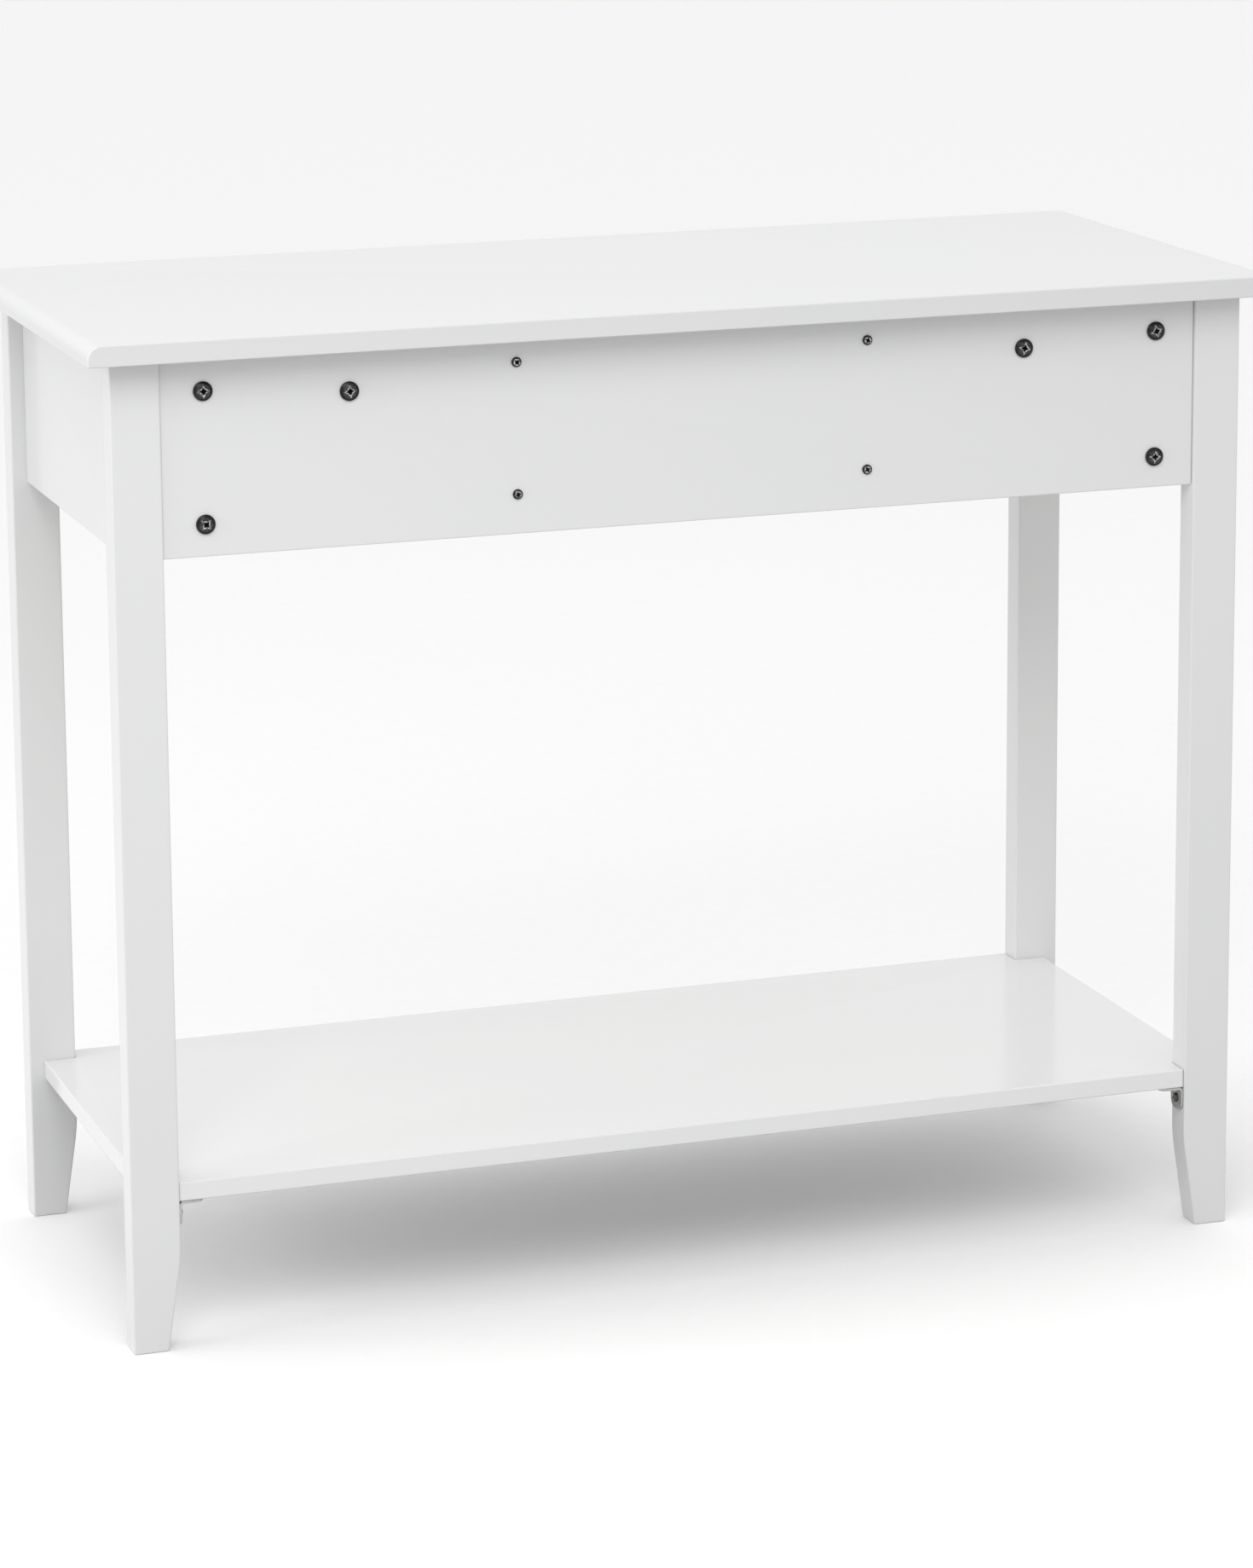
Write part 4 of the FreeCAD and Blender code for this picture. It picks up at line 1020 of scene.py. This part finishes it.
class MakeShelfBrackets(bpy.types.Operator):
    """Nickel angles under the shelf and their screws"""

    bl_idname = "console.make_shelf_brackets"
    bl_label = "Shelf brackets"

    def execute(self, context):
        thick = 2.0 * MM
        heads = []
        for side, way in SIDES:
            for row in ("front", "rear"):
                node = "shelf_bracket_%s_%s" % (row, side)
                low, high = box(node)
                grid, mark = self.plate(low, high, way, thick)
                mesh = shell(grid, mark)
                seal(mesh)
                put(node + "_plate", node, mesh, "nickel")
                y = (low[1] + high[1]) / 2
                free = (high[0] - low[0] - thick) / 2 + thick
                x_out = high[0] if way > 0 else low[0]
                heads.append(((x_out - way * thick, y, high[2] - free), (-way, 0, 0), 0.35))
                heads.append(((x_out - way * free, y, high[2] - thick), (0, 0, -1), 0.8))
        long = 11.0 * MM
        grid, mark = screw_grid(SCREW_HEAD, PAN_RISE, SCREW_SHANK, long, 2.5 * MM, 1.8 * MM, 0.0, 56)
        grids = [placed(grid, [p], frames([p], out, [spin]))[0] for p, out, spin in heads]
        put("bracket_screw_heads", "bracket_screws", merged(grids, mark), "dark_steel")
        return {"FINISHED"}

    def plate(self, low, high, way, thick):
        """Rings of a flat bar carried round a bend.

        The path runs up one arm, through a quarter turn and along the other; at arc length s the bar's
        half width is b - r + sqrt(r^2 - (r - d)^2), where d is the distance to the nearer end and r the
        corner radius, and b beyond it. Each ring is the bar's section with rounded corners.
        """
        arm = high[0] - low[0]
        half = (high[1] - low[1]) / 2
        corner = 7.0 * MM
        bend = 1.6 * MM
        straight = arm - bend - thick
        radius = bend + thick / 2
        curve = radius * QUARTER
        total = 2 * straight + curve
        ends = corner * (1 - np.cos(np.linspace(0.0, QUARTER, 10)))
        s = np.unique(np.concatenate([ends, np.linspace(straight, straight + curve, 9), total - ends]))
        q = np.clip((s - straight) / curve, 0.0, 1.0) * QUARTER
        first, last = np.minimum(s, straight), np.maximum(s - straight - curve, 0.0)
        x = arm - thick / 2 - radius * (1 - np.cos(q)) - last
        z = first + radius * np.sin(q)
        normal = np.stack([np.cos(q), np.sin(q)], 1)
        d = np.minimum(s, total - s)
        arc = np.sqrt(np.maximum(corner ** 2 - (corner - d) ** 2, 0))
        wide = np.where(d < corner, half - corner + arc, half)
        cut = 0.25 * MM
        side = np.array([-1.0, -1.0, -1.0, 1.0, 1.0, 1.0, 1.0, -1.0])
        level = np.array([-0.75, 0.75, 1.0, 1.0, 0.75, -0.75, -1.0, -1.0])
        face = abs(level) > 0.9
        across = side * (wide[:, None] - cut * face)
        away = np.broadcast_to(level * thick / 2, across.shape)
        px = x[:, None] + away * normal[:, 0:1]
        pz = z[:, None] + away * normal[:, 1:2]
        gx = low[0] + px if way > 0 else high[0] - px
        mark = np.where(face, 0.0, 1.0)
        return np.stack([gx, (low[1] + high[1]) / 2 + across, low[2] + pz], 2), mark


class MakeStage(bpy.types.Operator):
    """Pale floor, soft studio light and the camera"""

    bl_idname = "console.make_stage"
    bl_label = "Stage"

    camera_place = (1.312, 3.845, 1.378)
    heading = 18.92
    tilt = 11.25
    roll = -0.41
    lens = 119.3
    film = 36.0
    drop = -0.16
    sky = 0.92
    boxes = (("back_box", 17.0, 1.2, (0.75, 1.75, 2.0), (0.0, 0.0, 0.55)),
             ("end_box", 13.5, 1.3, (2.5, 0.1, 1.1), (0.3, 0.0, 0.45)))

    def execute(self, context):
        self.floor()
        self.light()
        self.camera()
        return {"FINISHED"}

    def floor(self):
        """A flat square, far wider than the view."""
        half = 40.0
        corners = [(x, y, 0.0) for x, y in rectangle(-half, -half, half, half)]
        mesh = bpy.data.meshes.new("studio_floor")
        mesh.from_pydata(corners, [], [(0, 1, 2, 3)])
        mesh.materials.append(finish("studio_floor"))
        made = bpy.data.objects.new("studio_floor", mesh)
        bpy.context.scene.collection.objects.link(made)

    def light(self):
        """An even white world and two wide soft boxes."""
        scene = bpy.context.scene
        world = bpy.data.worlds.new("studio")
        scene.world = world
        world.use_nodes = True
        around = world.node_tree.nodes["Background"]
        around.inputs["Color"].default_value = (1.0, 1.0, 1.0, 1.0)
        around.inputs["Strength"].default_value = self.sky
        for name, power, side, stands, aims in self.boxes:
            data = bpy.data.lights.new(name, "AREA")
            data.shape, data.size, data.energy = "SQUARE", side, power
            lamp = bpy.data.objects.new(name, data)
            lamp.visible_camera = False
            turn = (Vector(aims) - Vector(stands)).to_track_quat("-Z", "Y").to_matrix().to_4x4()
            lamp.matrix_world = Matrix.Translation(stands) @ turn
            scene.collection.objects.link(lamp)
        scene.view_settings.view_transform = "Standard"

    def camera(self):
        """Behind the table and to one side, a little above it, with a long lens."""
        data = bpy.data.cameras.new("camera")
        data.lens, data.sensor_width, data.shift_y = self.lens, self.film, self.drop
        made = bpy.data.objects.new("camera", data)
        yaw, pitch, roll = (math.radians(a) for a in (self.heading, self.tilt, self.roll))
        level = np.array([-math.sin(yaw), -math.cos(yaw), 0.0])
        right = np.array([-math.cos(yaw), math.sin(yaw), 0.0])
        ahead = level * math.cos(pitch) - np.array([0.0, 0.0, math.sin(pitch)])
        up = np.array([0.0, 0.0, math.cos(pitch)]) + level * math.sin(pitch)
        right, up = (right * math.cos(roll) + up * math.sin(roll),
                     up * math.cos(roll) - right * math.sin(roll))
        turn = Matrix(np.stack([right, up, -ahead], 1).tolist()).to_4x4()
        made.matrix_world = Matrix.Translation(self.camera_place) @ turn
        bpy.context.scene.collection.objects.link(made)
        bpy.context.scene.camera = made


OPERATORS = (MakeTabletop, MakeLegs, MakeApron, MakeShelf, MakeDrawerBoxes, MakeDrawerFronts, MakeKnobs,
             MakeStopClips, MakeRunners, MakeBackBolts, MakeSmallScrews, MakeShelfBrackets, MakeStage)


class VIEW3D_PT_console_table(bpy.types.Panel):
    """Sidebar panel with the table's sizes, colours and pieces"""

    bl_label = "Console Table"
    bl_idname = "VIEW3D_PT_console_table"
    bl_space_type = "VIEW_3D"
    bl_region_type = "UI"
    bl_category = "Console Table"

    def draw(self, context):
        groups = ("Sizes", context.scene.console_sizes), ("Colours", context.scene.console_colours)
        for title, group in groups:
            part = self.layout.box()
            part.label(text=title)
            for name in group.__annotations__:
                part.prop(group, name)
        pieces = self.layout.box()
        pieces.label(text="Pieces")
        for operator in OPERATORS:
            pieces.operator(operator.bl_idname)


CLASSES = (ConsoleSizes, ConsoleColours, *OPERATORS, VIEW3D_PT_console_table)


def register():
    """Registers the classes and the scene's properties."""
    for item in CLASSES:
        bpy.utils.register_class(item)
    bpy.types.Scene.console_sizes = PointerProperty(type=ConsoleSizes)
    bpy.types.Scene.console_colours = PointerProperty(type=ConsoleColours)


def unregister():
    """Removes them again."""
    del bpy.types.Scene.console_sizes
    del bpy.types.Scene.console_colours
    for item in reversed(CLASSES):
        bpy.utils.unregister_class(item)


def main():
    """Builds the table and its stage."""
    register()
    for operator in OPERATORS:
        getattr(bpy.ops.console, operator.bl_idname.split(".")[1])()


if __name__ == "__main__":
    main()
